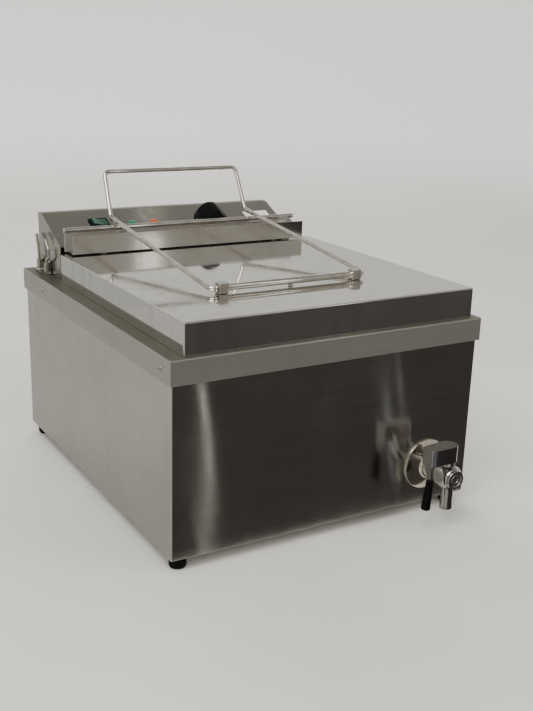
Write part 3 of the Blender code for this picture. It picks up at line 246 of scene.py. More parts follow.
# %% Steel maker
GREASE = (0.30, 0.28, 0.22)
SPECK = (0.22, 0.20, 0.16)
LEDGE_GRIME = (0.10, 0.09, 0.065)
BRIGHT_EDGE = (0.78, 0.77, 0.74)
NUDGE = (0.001, 0.0, 0.0)         # gives level faces a tangent too


def steel(name, tint, roughness, grain=0.5, clouds=0.5, runs=0.3, stain=GREASE, stretch=0.6,
          cloud_scale=9.0, ledge=0.0, metal=1.0):
    """Brushed sheet steel with smudges, runs, grease on level ledges and polished edges."""
    made, shader = new_material(name, roughness, metal, Anisotropic=stretch, Anisotropic_Rotation=0.25)
    tree = made.node_tree
    brushed = use_group(tree, GRAIN)
    dirt = use_group(tree, SMUDGE, Cloud_Scale=cloud_scale)
    wear = use_group(tree, WEAR)["Mask"]
    dark = [value * (1.0 - 0.12 * grain) for value in tint]
    colour = mix_colour(tree, brushed["Streak"], dark, tint)
    colour = mix_colour(tree, maths(tree, "MULTIPLY", dirt["Clouds"], 0.42 * clouds), colour, stain)
    colour = mix_colour(tree, maths(tree, "MULTIPLY", dirt["Runs"], 0.55 * runs), colour, stain)
    colour = mix_colour(tree, maths(tree, "MULTIPLY", dirt["Specks"], 0.25 * clouds), colour, SPECK)
    if ledge:
        normal = node(tree, "ShaderNodeNewGeometry").outputs["True Normal"]
        level = spread(tree, node(tree, "ShaderNodeSeparateXYZ", {0: normal}).outputs["Z"], 0.8, 0.95)
        colour = mix_colour(tree, maths(tree, "MULTIPLY", level, ledge), colour, LEDGE_GRIME)
    colour = mix_colour(tree, maths(tree, "MULTIPLY", wear, 0.5), colour, BRIGHT_EDGE)
    tree.links.new(colour, shader.inputs["Base Color"])
    rough = maths(tree, "MULTIPLY", dirt["Clouds"], 0.16 * clouds)
    rough = maths(tree, "ADD", rough, maths(tree, "MULTIPLY", dirt["Runs"], 0.14 * runs))
    rough = maths(tree, "ADD", rough, maths(tree, "MULTIPLY", brushed["Streak"], 0.025 * grain))
    tree.links.new(maths(tree, "ADD", rough, roughness), shader.inputs["Roughness"])
    bump = node(tree, "ShaderNodeBump", {"Strength": 0.004 * grain, "Distance": 0.0004,
                                         "Height": brushed["Height"]})
    tree.links.new(bump.outputs[0], shader.inputs["Normal"])
    face = node(tree, "ShaderNodeNewGeometry").outputs["Normal"]
    across = node(tree, "ShaderNodeVectorMath", {0: (0.0, 0.0, 1.0), 1: face}, operation="CROSS_PRODUCT")
    along = node(tree, "ShaderNodeVectorMath", {0: across.outputs[0], 1: NUDGE}, operation="ADD")
    tree.links.new(along.outputs[0], shader.inputs["Tangent"])
    return made


print("steel maker ready")

# %% Steel sheets
STEEL = {
    "cabinet_wrap": steel("cabinet steel", (0.60, 0.59, 0.55), 0.12, 0.9, 0.22, 0.16, stretch=1.0,
                          cloud_scale=14.0),
    "top_deck": steel("deck steel", (0.40, 0.39, 0.36), 0.38, 0.6, 0.3, 0.2, stretch=0.5, ledge=0.75,
                      metal=0.82),
    "lid_shell": steel("lid steel", (0.70, 0.69, 0.66), 0.045, 0.2, 0.25, 0.35, stretch=0.2, metal=0.98),
    "console_housing": steel("console steel", (0.47, 0.46, 0.42), 0.20, 0.7, 0.6, 0.3, cloud_scale=22.0),
    "splash_guard": steel("guard steel", (0.66, 0.64, 0.60), 0.11, 0.5, 0.25, 0.15, cloud_scale=20.0),
    "tank": steel("tank steel", (0.52, 0.50, 0.45), 0.30, 0.3, 0.9, 0.6, (0.26, 0.20, 0.10)),
}
STEEL["back_panel"] = STEEL["base_plate"] = STEEL["cabinet_wrap"]
STEEL["rail_plate"] = steel("rail plate steel", (0.60, 0.58, 0.54), 0.26, 0.5, 0.25, 0.15, metal=0.75)
STEEL["guard_spacer_left"] = STEEL["guard_spacer_right"] = STEEL["splash_guard"]
STEEL["hook_bracket"] = STEEL["console_housing"]
STEEL["drain_grid"] = STEEL["tank"]
print("steel sheets:", len(STEEL))

# %% [markdown]
# Chrome on the tap and the drawn wire of the bail are polished, so they mirror sharply. They
# need only faint waves, fingerprints and a little grime, or they look like computer chrome.

# %% Polished metals
GRIME = (0.16, 0.13, 0.10)
RUBBED_EDGE = (0.85, 0.84, 0.82)


def polished(name, tint, roughness, grime=GRIME, amount=0.35):
    """A bright metal with fingerprints and faint waves."""
    made, shader = new_material(name, roughness, 1.0)
    tree = made.node_tree
    dirt = use_group(tree, SMUDGE, Cloud_Scale=45.0)
    wear = use_group(tree, WEAR, Width=0.0006)["Mask"]
    soiled = maths(tree, "MULTIPLY", dirt["Clouds"], amount)
    colour = mix_colour(tree, soiled, tint, grime)
    colour = mix_colour(tree, maths(tree, "MULTIPLY", dirt["Specks"], 0.5 * amount), colour, grime)
    colour = mix_colour(tree, maths(tree, "MULTIPLY", wear, 0.4), colour, RUBBED_EDGE)
    tree.links.new(colour, shader.inputs["Base Color"])
    rough = maths(tree, "MULTIPLY", dirt["Clouds"], 0.30 * amount)
    tree.links.new(maths(tree, "ADD", rough, roughness), shader.inputs["Roughness"])
    waves = node(tree, "ShaderNodeTexNoise", {"Scale": 90.0, "Detail": 2.0,
                                              "Vector": object_place(tree)}).outputs[0]
    bump = node(tree, "ShaderNodeBump", {"Strength": 0.12, "Distance": 0.0005, "Height": waves})
    tree.links.new(bump.outputs[0], shader.inputs["Normal"])
    return made


print("polisher ready")

# %% Chrome, wire and the other bright metals
CHROME = polished("polished chrome", (0.56, 0.55, 0.54), 0.05)
WIRE = polished("drawn wire", (0.82, 0.78, 0.73), 0.07, amount=0.25)
# The lever's chrome is a darker copy of the same chrome: painted shade, for the dark room that its hood
# mirrors.
SHADED_LEVER_CHROME = polished("dark chrome", (0.36, 0.36, 0.37), 0.05)
SATIN = polished("satin nickel", (0.55, 0.52, 0.47), 0.24, amount=0.4)
# The rosette's chrome is a lighter, warmer copy of the same chrome: a painted warm highlight.
LIT_ROSETTE_CHROME = polished("warm chrome", (0.86, 0.80, 0.70), 0.08)
SPOUT = polished("tarnished chrome", (0.44, 0.42, 0.40), 0.12, (0.10, 0.085, 0.07), 0.6)
BRASS = polished("dull brass", (0.62, 0.45, 0.18), 0.28, (0.20, 0.12, 0.05), 0.5)
COPPER = polished("copper tube", (0.70, 0.36, 0.22), 0.25, (0.18, 0.09, 0.05), 0.5)
TINTED = polished("heat tinted tube", (0.16, 0.13, 0.12), 0.38, (0.05, 0.04, 0.05), 0.7)
print("polished metals: 9")

# %% [markdown]
# The knob, grip and switch are moulded in black. Moulded plastic has a fine pebbled skin, grey
# dust in its clouds and paler worn edges. The same maker serves the rubber feet, the cream
# ceramic of the thermostat, the white label and the coloured lenses, with other numbers.

# %% Moulded materials
def moulded(name, tint, roughness, dust, pebble=0.25, pebble_scale=900.0, **sockets):
    """Plastic, rubber or ceramic with a pebbled skin, dust and worn edges."""
    made, shader = new_material(name, roughness, 0.0, **sockets)
    tree = made.node_tree
    dirt = use_group(tree, SMUDGE, Cloud_Scale=60.0)
    wear = use_group(tree, WEAR, Width=0.0005)["Mask"]
    colour = mix_colour(tree, maths(tree, "MULTIPLY", dirt["Clouds"], 0.35), tint, dust)
    colour = mix_colour(tree, maths(tree, "MULTIPLY", dirt["Specks"], 0.5), colour, dust)
    colour = mix_colour(tree, maths(tree, "MULTIPLY", wear, 0.5), colour, dust)
    tree.links.new(colour, shader.inputs["Base Color"])
    rough = maths(tree, "MULTIPLY", dirt["Clouds"], 0.18)
    tree.links.new(maths(tree, "ADD", rough, roughness), shader.inputs["Roughness"])
    skin = node(tree, "ShaderNodeTexNoise", {"Scale": pebble_scale, "Detail": 2.0,
                                             "Vector": object_place(tree)}).outputs[0]
    bump = node(tree, "ShaderNodeBump", {"Strength": pebble, "Distance": 0.0003, "Height": skin})
    tree.links.new(bump.outputs[0], shader.inputs["Normal"])
    return made


print("moulding ready")

# %% Plastic, rubber, ceramic and lenses
LENS = {"Transmission_Weight": 0.25, "IOR": 1.49, "Coat_Weight": 0.6, "Coat_Roughness": 0.08}
BLACK = moulded("black plastic", (0.0018, 0.0018, 0.002), 0.34, (0.005, 0.005, 0.005),
                Specular_IOR_Level=0.12)
RUBBER = moulded("black rubber", (0.002, 0.002, 0.002), 0.65, (0.007, 0.007, 0.0065), 0.5, 600.0,
                 Specular_IOR_Level=0.12)
CERAMIC = moulded("cream ceramic", (0.66, 0.60, 0.47), 0.55, (0.42, 0.37, 0.28), 0.3, 500.0)
LABEL = moulded("white label", (0.74, 0.74, 0.72), 0.42, (0.52, 0.50, 0.45), 0.08, 300.0)
INK = moulded("white ink", (0.72, 0.72, 0.70), 0.5, (0.5, 0.5, 0.48), 0.1)
GREEN = moulded("green lens", (0.010, 0.17, 0.085), 0.12, (0.03, 0.22, 0.13), 0.06, 250.0, **LENS)
DARK_GREEN = moulded("dark green rocker", (0.003, 0.045, 0.026), 0.22, (0.012, 0.06, 0.04), 0.06,
                     250.0, Coat_Weight=0.5, Coat_Roughness=0.1)
ORANGE = moulded("orange lens", (0.46, 0.085, 0.022), 0.14, (0.50, 0.20, 0.10), 0.06, 250.0, **LENS)
print("moulded materials: 8")

# %% [markdown]
# A piece that is made with modifiers is baked to a plain mesh before it is used, and the first
# one is the studio. It is a wide pale bowl, so every view has the same soft ground. It is hidden from
# mirror rays, and a table top that only mirror rays see takes its place. Beyond that table the
# steel mirrors the world, which is dark in front of the fryer and light behind it: that is what
# makes the front dark and the lid bright.

# %% Baking helper
def bake(piece):
    """Replace a piece's data by its evaluated mesh, and drop the modifiers."""
    graph = bpy.context.evaluated_depsgraph_get()
    mesh = bpy.data.meshes.new_from_object(piece.evaluated_get(graph))
    name = piece.name
    if piece.type == "MESH":
        piece.modifiers.clear()
        piece.data = mesh
        return piece
    bpy.data.objects.remove(piece, do_unlink=True)
    return add(name, mesh)


print("baking ready")

# %% Matt paper and cloth
def plain_material(name, colour, high_colour=None):
    """Matt paper or cloth with faint clouds. It may change to another colour higher up."""
    made, shader = new_material(name, 0.8)
    tree = made.node_tree
    place = object_place(tree)
    clouds = node(tree, "ShaderNodeTexNoise", {"Vector": place, "Scale": 2.2, "Detail": 5.0}).outputs[0]
    dark = [value * 0.93 for value in colour]
    shade = mix_colour(tree, spread(tree, clouds, 0.35, 0.65), dark, colour)
    if high_colour:
        high = spread(tree, node(tree, "ShaderNodeSeparateXYZ", {0: place}).outputs["Z"], 0.0, 0.3)
        shade = mix_colour(tree, high, shade, high_colour)
    tree.links.new(shade, shader.inputs["Base Color"])
    return made


GROUND = (0.69, 0.675, 0.64)
WALL = (0.90, 0.89, 0.87)
print("cloth ready")

# %% Pale ground
BOWL_RADIUS = 3.2
BOWL_SWEEP = 1.2
BOWL_HEIGHT = 3.0
SWEEP_STEPS = 12


def outline(name, profile):
    """An open line through (radius, height) points, ready to be turned about Z."""
    mesh = bpy.data.meshes.new(name)
    mesh.from_pydata([(r, 0.0, z) for r, z in profile], [(i, i + 1) for i in range(len(profile) - 1)], [])
    return add(name, mesh)


def make_bowl():
    """A flat disc that sweeps up into a round wall."""
    flat = BOWL_RADIUS - BOWL_SWEEP
    profile = [(0.0, 0.0), (flat, 0.0)]
    for step in range(1, SWEEP_STEPS + 1):
        angle = math.pi / 2 * step / SWEEP_STEPS
        profile.append((flat + BOWL_SWEEP * math.sin(angle), BOWL_SWEEP - BOWL_SWEEP * math.cos(angle)))
    profile.append((BOWL_RADIUS, BOWL_HEIGHT))
    bowl = outline("pale_ground", profile)
    screw = bowl.modifiers.new("turn", "SCREW")
    screw.steps = screw.render_steps = 96
    screw.use_merge_vertices = True
    screw.use_smooth_shade = True
    bowl = bake(bowl)
    bowl.data.materials.append(plain_material("pale ground", GROUND, WALL))
    bowl.visible_glossy = False


make_bowl()
print("ground radius", BOWL_RADIUS)

# %% The table in the reflection
TABLE_FRONT = -0.262
TABLE_REAR = 0.95
TABLE_TOP = 0.0005
TABLE_SPLIT = -0.232
SHADED = [value * 0.54 for value in GROUND]


def mirror_only(piece):
    """Let only mirror rays see a piece of the studio."""
    piece.visible_camera = piece.visible_diffuse = piece.visible_shadow = False


def table_card(side, low_x, high_x, colour):
    """A flat piece of the table top, from front to rear."""
    name = f"mirrored_table_{side}"
    mesh = bpy.data.meshes.new(name)
    ends = ((low_x, TABLE_FRONT), (high_x, TABLE_FRONT), (high_x, TABLE_REAR), (low_x, TABLE_REAR))
    mesh.from_pydata([(x, y, TABLE_TOP) for x, y in ends], [], [(0, 1, 2, 3)])
    mesh.materials.append(plain_material(f"table cloth {side}", colour))
    card = add(name, mesh)
    card.visible_transmission = False
    mirror_only(card)


table_card("right", TABLE_SPLIT, 0.75, GROUND)
table_card("left", -1.1, TABLE_SPLIT, SHADED)
print("table cards: 2")

# %% [markdown]
# The world is worked out from the direction alone. The front half is nearly black at the
# horizon and lighter above it, the rear half is a light wall, the left is a little darker, and
# the ceiling is dull. Rays that aren't mirrored see an even white instead, as fill light.

# %% The world that the steel mirrors
world = bpy.data.worlds.new("studio")
bpy.context.scene.world = world
world.use_nodes = True
tree = world.node_tree
tree.nodes.clear()
heading = node(tree, "ShaderNodeSeparateXYZ", {0: node(tree, "ShaderNodeTexCoord").outputs["Generated"]})
east, north, rise = heading.outputs
REAR = (0.76, 0.75, 0.69)
FILL_WHITE = (0.96, 0.98, 1.0, 1.0)
FRONT_LOW = (0.056, 0.050, 0.047)
FRONT_HIGH = (0.46, 0.44, 0.40)
CEILING = (0.28, 0.27, 0.25)
SIDE = (0.52, 0.515, 0.47)
room = mix_colour(tree, spread(tree, rise, -0.02, 0.16), FRONT_LOW, FRONT_HIGH)
room = mix_colour(tree, spread(tree, north, 0.05, 0.40), room, REAR)
room = mix_colour(tree, spread(tree, east, -0.10, -0.35), room, SIDE)
room = mix_colour(tree, spread(tree, rise, 0.50, 0.80), room, CEILING)
seen = node(tree, "ShaderNodeBackground", {"Color": room, "Strength": 1.0}).outputs[0]
fill = node(tree, "ShaderNodeBackground", {"Color": FILL_WHITE, "Strength": 0.85}).outputs[0]
is_mirror = node(tree, "ShaderNodeLightPath").outputs["Is Glossy Ray"]
both = node(tree, "ShaderNodeMixShader", {0: is_mirror, 1: fill, 2: seen}).outputs[0]
node(tree, "ShaderNodeOutputWorld", {"Surface": both})
print("world ready")

# %% [markdown]
# One large soft lamp hangs to the left and above, and wire and chrome mirror it as a bright
# spot. Two weaker ones fill from the front right and from behind. Those are hidden from mirror
# rays, because the world and the cards already say what the steel sees there.

# %% Lamps
LAMP_WHITE = (1.0, 0.98, 0.94)


def area_lamp(name, place, aim, size, power, mirrored=False):
    """A square soft lamp that points at a place."""
    lamp = bpy.data.lights.new(name, "AREA")
    lamp.size = size
    lamp.energy = power
    lamp.color = LAMP_WHITE
    made = add(name, lamp)
    made.location = place
    made.rotation_euler = (Vector(aim) - Vector(place)).to_track_quat("-Z", "Y").to_euler()
    made.visible_glossy = mirrored


area_lamp("key_lamp", (-1.3, -0.9, 2.3), (0, 0, 0.1), 1.6, 48.0, mirrored=True)
area_lamp("fill_lamp", (1.6, -1.8, 1.7), (0, 0, 0.1), 1.8, 22.0)
area_lamp("rear_lamp", (0.4, 2.2, 2.2), (0, 0, 0.2), 1.6, 34.0)
print("lamps: 3")

# %% [markdown]
# A bright line on brushed steel is the image of something bright and narrow. To put it where it
# belongs, the camera's line of sight is reflected in the steel, and a glowing strip is stood at
# the end of that line. The strip is only seen by mirror rays.

# %% Strip makers
def glow(name, colour, strength):
    """A plain glowing material for a strip."""
    made, shader = new_material(name, 1.0)
    shader.inputs["Base Color"].default_value = (0, 0, 0, 1)
    shader.inputs["Emission Color"].default_value = (*colour, 1.0)
    shader.inputs["Emission Strength"].default_value = strength
    made.cycles.emission_sampling = "NONE"
    return made


def mirror_point(point, normal, distance, bounce=None):
    """Where the line of sight ends after a mirror at the point, and after a level one at bounce."""
    sight = (Vector(point) - CAMERA_AT).normalized()
    end = Vector(point) + sight.reflect(Vector(normal)) * distance
    if bounce is not None and end.z < bounce:
        end.z = 2 * bounce - end.z
    return end


def mirror_strip(name, points, normal, widths, distance, material, bounce=None):
    """A glowing strip whose mirror image runs through the points on a flat sheet."""
    bm = bmesh.new()
    rungs = []
    for point, width in zip(points, widths):
        side = Vector((width / 2, 0, 0))
        ends = [mirror_point(Vector(point) + s, normal, distance, bounce) for s in (-side, side)]
        rungs.append([bm.verts.new(end) for end in ends])
    for (a, b), (c, d) in zip(rungs, rungs[1:]):
        bm.faces.new((a, b, d, c))
    mesh = bpy.data.meshes.new(name)
    bm.to_mesh(mesh)
    bm.free()
    mesh.materials.append(material)
    mirror_only(add(name, mesh))


print("strip makers ready")

# %% [markdown]
# The front carries a long pale arc on its left and three short soft streaks beside the tap.
# Their heights are counted from the cabinet's lower edge.

# %% Arc and streaks on the front
FRONTWARD = (0, -1, 0)
STRIP_REACH = 0.4
WARM_GLOW = (1.0, 0.97, 0.88)
COOL_GLOW = (0.95, 0.98, 1.0)
ARC = ((-0.190, 0.238), (-0.184, 0.203), (-0.179, 0.158), (-0.177, 0.108), (-0.180, 0.058),
       (-0.187, 0.002))
ARC_WIDTH = 0.006
TAP_STREAKS = (((0.096, 0.223), (0.100, 0.178), (0.104, 0.138)),
               ((0.086, 0.138), (0.090, 0.098), (0.098, 0.038)),
               ((0.078, 0.213), (0.082, 0.148), (0.083, 0.108)))
STREAK_WIDTHS = (0.001, 0.006, 0.001)
cabinet_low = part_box("cabinet_wrap")[0]


def on_front(points):
    """Places on the cabinet's front, from places across it and heights above its lower edge."""
    return [(x, cabinet_low[1], z + cabinet_low[2]) for x, z in points]


mirror_strip("arc_strip", on_front(ARC), FRONTWARD, [ARC_WIDTH] * len(ARC), STRIP_REACH,
             glow("arc glow", WARM_GLOW, 1.1))
for index, streak in enumerate(TAP_STREAKS, 1):
    mirror_strip(f"tap_streak_{index}", on_front(streak), FRONTWARD, STREAK_WIDTHS, STRIP_REACH,
                 glow(f"streak glow {index}", COOL_GLOW, 0.35))
print("strips on the front:", 1 + len(TAP_STREAKS))

# %% [markdown]
# The splash guard and the sloping panel behind it each show one bright patch, left of the
# middle. The guard's patch is seen in the lid as well, so its strip is folded up at the lid's
# height, where the line of sight bounces again.

# %% Patches on the guard and the panel
GUARD_PATCH_X = -0.075
GUARD_PATCH_WIDTH = 0.040
GUARD_PATCH_DROP = 0.3
GUARD_REACH = 0.7
PANEL_RISE = 0.0361
PANEL_RUN = 0.0785
PANEL_PATCH_X = -0.044
PANEL_PATCH_WIDTH = 0.016
SLOPE = math.atan2(PANEL_RISE, PANEL_RUN)
lid_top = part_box("lid_shell")[1][2]
guard_low, guard_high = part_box("splash_guard")
console_low, console_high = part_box("console_housing")
patch = [(GUARD_PATCH_X, guard_low[1], z) for z in (guard_low[2] - GUARD_PATCH_DROP, guard_high[2])]
mirror_strip("guard_patch", patch, FRONTWARD, [GUARD_PATCH_WIDTH] * 2, GUARD_REACH,
             glow("patch glow", (1, 0.98, 0.92), 2.0), lid_top)
panel_normal = (0, -math.sin(SLOPE), math.cos(SLOPE))
panel_low = console_high[2] - PANEL_RISE
patch = [(PANEL_PATCH_X, console_low[1], panel_low),
         (PANEL_PATCH_X, console_low[1] + PANEL_RUN, panel_low + PANEL_RISE)]
mirror_strip("slope_patch", patch, panel_normal, [PANEL_PATCH_WIDTH] * 2, STRIP_REACH,
             glow("slope glow", WARM_GLOW, 2.2))
print("patches: 2")

# %% [markdown]
# A CAD mesh arrives as loose triangles with knife edges. Real folded sheet has a tiny radius on
# every edge, and that radius catches the light. So each piece starts as a merged copy, gets a
# small Bevel, and a Weighted Normal that keeps its big faces flat. The result is baked to a
# plain mesh before it stands in for the CAD node.

# %% Claiming CAD nodes
def claim(piece, material, *nodes):
    """Let a finished piece stand for CAD nodes: give it the material, hide the nodes, put it on their
    body.
    """
    piece.data.materials.clear()
    piece.data.materials.append(material)
    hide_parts(*nodes)
    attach(piece, BODY[nodes[0]])
    return piece


print("claim ready")

# %% A softened copy of a CAD piece
WELD = 0.00001
FLAT_ANGLE = math.radians(0.5)


def merged_mesh(node_name, name):
    """A clean mesh from a CAD node's triangles."""
    bm = bmesh.new()
    bm.from_mesh(NODES[node_name].data)
    bmesh.ops.remove_doubles(bm, verts=bm.verts, dist=WELD)
    bmesh.ops.dissolve_limit(bm, angle_limit=FLAT_ANGLE, verts=bm.verts, edges=bm.edges)
    mesh = bpy.data.meshes.new(name)
    bm.to_mesh(mesh)
    bm.free()
    for layer in [a.name for a in mesh.attributes if a.name == "custom_normal"]:
        mesh.attributes.remove(mesh.attributes[layer])
    return mesh


def soften(piece, radius, segments=2, angle=36.0):
    """Round the sharp edges and keep the flat faces flat."""
    piece.data.shade_smooth()
    bevel = piece.modifiers.new("edge", "BEVEL")
    bevel.width = radius
    bevel.segments = segments
    bevel.limit_method = "ANGLE"
    bevel.angle_limit = math.radians(angle)
    bevel.use_clamp_overlap = True
    weighted = piece.modifiers.new("normals", "WEIGHTED_NORMAL")
    weighted.keep_sharp = True
    weighted.weight = 75
    return bake(piece)


def refine(node_name, material, radius, segments=2, angle=36.0):
    """A softened copy of a CAD node that stands for it."""
    name = "fine_" + node_name
    piece = soften(add(name, merged_mesh(node_name, name)), radius, segments, angle)
    return claim(piece, material, node_name)


SHEET_EDGE = 0.0004
for name, material in STEEL.items():
    refine(name, material, SHEET_EDGE)
print("sheets finished:", len(STEEL))

# %% [markdown]
# The turned and moulded pieces take the same road. Their edge radii differ: cast chrome is
# rounder than a brass nut, and the knob is rounder still. Each row is an edge radius, a material
# and the pieces that get them.

# %% Turned and moulded pieces
EDGES = (
    # The lever's darker chrome is painted shade.
    (0.0008, SHADED_LEVER_CHROME, ("tap_lever",)),
    (0.0004, CHROME, ("tap_body", "tap_cap")),
    # The rosette's lighter, warmer chrome is a painted highlight.
    (0.0004, LIT_ROSETTE_CHROME, ("tap_rosette",)),
    (0.0003, CHROME, ("tap_ball", "drain_pipe", "thermostat_bulb")),
    (0.0004, SPOUT, ("tap_spout",)),
    (0.0005, SATIN, ("hinge_block_left", "hinge_block_right", "hinge_tube_lug", "hook_ferrule_front",
                     "hook_ferrule_rear")),
    (0.0003, BRASS, ("tap_stem", "drain_nut", "heater_flange_left", "heater_flange_right",
                     "thermostat_shaft")),
    (0.0012, BLACK, ("thermostat_knob",)),
    (0.0005, BLACK, ("tap_grip", "switch_bezel", "cable_gland", "contactor", "safety_cutout")),
    (0.0008, RUBBER, ("foot_front_left", "foot_front_right", "foot_rear_left", "foot_rear_right")),
    (0.0004, CERAMIC, ("thermostat_body", "terminal_block")),
    (0.0006, DARK_GREEN, ("switch_rocker",)),
    (0.0003, GREEN, ("lamp_green",)),
    (0.0003, ORANGE, ("lamp_orange",)),
    (0.0001, LABEL, ("rating_label",)),
)
for radius, material, names in EDGES:
    for name in names:
        refine(name, material, radius, 3)
print("small pieces finished:", sum(len(names) for _, _, names in EDGES))

# %% [markdown]
# Wire is round, and the eye knows it. The bail, the rear rail and the hooks are drawn again as
# curves with a finely divided round section, along the same routes as the CAD solids. The hinge
# tube, the heating tubes and the capillary have sections fine enough already, and are softened.

# %% Round bar helpers
def rounded_path(points, radius, steps=8):
    """The points with each inner corner replaced by an arc."""
    points = [Vector(point) for point in points]
    path = [points[0]]
    for before, corner, after in zip(points, points[1:], points[2:]):
        back = (before - corner).normalized()
        ahead = (after - corner).normalized()
        half = back.angle(ahead) / 2
        centre = corner + (back + ahead).normalized() * (radius / math.sin(half))
        reach = radius / math.tan(half)
        first = corner + back * reach - centre
        turn = first.rotation_difference(corner + ahead * reach - centre)
        for step in range(steps + 1):
            path.append(centre + Matrix.Rotation(turn.angle * step / steps, 3, turn.axis) @ first)
    path.append(points[-1])
    return path


def smooth(piece, angle):
    """Smooth shading, with edges above the angle in degrees kept sharp."""
    piece.data.shade_smooth()
    piece.data.set_sharp_from_angle(angle=math.radians(angle))
    return piece


def wire(name, points, radius, sides=6):
    """A round bar along the points, baked to a mesh."""
    curve = bpy.data.curves.new(name, "CURVE")
    curve.dimensions = "3D"
    curve.bevel_depth = radius
    curve.bevel_resolution = sides
    curve.use_fill_caps = True
    spline = curve.splines.new("POLY")
    spline.points.add(len(points) - 1)
    for target, point in zip(spline.points, points):
        target.co = (*point, 1.0)
    spline.use_smooth = True
    return smooth(bake(add(name, curve)), 50)


print("round bars ready")

# %% Bail
joint = {entry["name"]: entry for entry in record["behaviour"]["joints"]}
hinge = Vector(joint["bail_hinge"]["pos_m"])
BAIL_RADIUS = 0.0032
BAIL_BEND = 0.0085
BAIL_HALF = 0.2345 / 2
BLOCK_INSET = 0.0163
BLOCK_HALF = 0.0067
BAIL_TAIL = 0.012
BAIL_KINK = Vector((BAIL_HALF - 0.002, 0.32975, 0.0384))
BAIL_TOP = Vector((BAIL_HALF - 0.0048, 0.36075, 0.1021))
BAIL_END = BAIL_HALF - BLOCK_INSET - BLOCK_HALF - BAIL_TAIL
half_bail = [Vector((BAIL_END, 0, 0)), Vector((BAIL_HALF, 0, 0)), BAIL_KINK, BAIL_TOP]
left_half = [hinge + Vector((-p.x, p.y, p.z)) for p in half_bail]
corners = left_half + [hinge + p for p in reversed(half_bail)]
bail = claim(wire("fine_bail", rounded_path(corners, BAIL_BEND), BAIL_RADIUS), WIRE, "bail")
low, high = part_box("bail")
mine = [Vector(corner) for corner in bail.bound_box]
print("bail: CAD y", round(low[1], 4), round(high[1], 4), "mine y", round(min(c.y for c in mine), 4),
      round(max(c.y for c in mine), 4))

# %% Rail and hinge tube
low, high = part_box("rear_rail")
rail_y = (low[1] + high[1]) / 2
rail_z = (low[2] + high[2]) / 2
rail_ends = [(low[0], rail_y, rail_z), (high[0], rail_y, rail_z)]
rail = wire("fine_rear_rail", rail_ends, (high[2] - low[2]) / 2, 8)
claim(soften(rail, 0.0006), WIRE, "rear_rail")
refine("hinge_tube", WIRE, 0.0003)
print("rail length", round(high[0] - low[0], 4))

# %% Hooks, heating tubes and capillary
deck_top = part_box("top_deck")[1][2]
HOOK_WIRE = 0.0021
HOOK_BEND = 0.005
HOOKS = (("hook_wire_front", 0.047, ((0, 0.0195), (-0.0130, 0.0275), (-0.0115, 0.0400),
                                     (0.0010, 0.0525), (0.0160, 0.0595))),
         ("hook_wire_rear", 0.079, ((0, 0.020), (0.0015, 0.030), (0.0085, 0.0550))))
for name, start, bends in HOOKS:
    low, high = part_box(name)
    x = (low[0] + high[0]) / 2
    y = console_low[1] + start
    points = [(x, y, low[2])] + [(x, y + back, deck_top + up) for back, up in bends]
    claim(wire("fine_" + name, rounded_path(points, HOOK_BEND), HOOK_WIRE), SATIN, name)
for name, material in (("heating_tube_left", TINTED), ("heating_tube_right", TINTED),
                       ("thermostat_capillary", COPPER)):
    refine(name, material, 0.0002, angle=70.0)
print("wires drawn again: 4, tubes kept: 3")

# %% [markdown]
# Small repeated things are a rule, not a drawing: put one thing on each of some points. Geometry
# Nodes say exactly that. The tree ends with real geometry and a material, and what it makes is
# baked to a plain mesh.

# %% Geometry Nodes helpers
def new_tree(name, inputs):
    """An empty Geometry Nodes tree with named inputs and one geometry output."""
    tree = bpy.data.node_groups.new(name, "GeometryNodeTree")
    tree.interface.new_socket("Geometry", in_out="OUTPUT", socket_type="NodeSocketGeometry")
    for socket, kind in inputs:
        tree.interface.new_socket(socket, in_out="INPUT", socket_type=kind)
    return tree, tree.nodes.new("NodeGroupInput").outputs, tree.nodes.new("NodeGroupOutput").inputs[0]


def end_tree(tree, instances, material, end):
    """Realize the instances, give them the material and finish the tree."""
    real = node(tree, "GeometryNodeRealizeInstances", {0: instances}).outputs[0]
    done = node(tree, "GeometryNodeSetMaterial", {"Geometry": real, "Material": material}).outputs[0]
    tree.links.new(done, end)


def run_tree(name, tree, values):
    """Run a tree with these inputs and bake what it makes."""
    piece = add(name, bpy.data.meshes.new(name))
    modifier = piece.modifiers.new(tree.name, "NODES")
    modifier.node_group = tree
    for item in tree.interface.items_tree:
        if item.in_out == "INPUT":
            modifier[item.identifier] = values[item.name]
    return bake(piece)


MATERIAL = "NodeSocketMaterial"
print("tree helpers ready")

# %% [markdown]
# The deck is held by a domed screw near each corner of its sides. One head is modelled, with a
# cross recess cut into its dome, and the tree puts it on the four corners of a rectangle. Heads
# on the right are turned to face right, the others to face left.

# %% Turned shapes
def turned_mesh(name, profile, steps=32):
    """A turned shape about local Z. The profile's (radius, height) points run down the outside."""
    made = outline(name, profile)
    screw = made.modifiers.new("turn", "SCREW")
    screw.steps = screw.render_steps = steps
    screw.use_merge_vertices = True
    screw.merge_threshold = WELD
    return made


print("turning ready")

# %% One screw head
HEAD_RADIUS = 0.0032
HEAD_DOME = 0.0019
HEAD_EDGE = 0.0004
HEAD_UNDERSIDE = 0.0003
RECESS_DEPTH = 0.0009
RECESS_WIDTH = 0.24 * HEAD_RADIUS
RECESS_TURN = 0.4
SHANK_RADIUS = 0.55 * HEAD_RADIUS
SHANK_LENGTH = 0.004
DOME_STEPS = 6


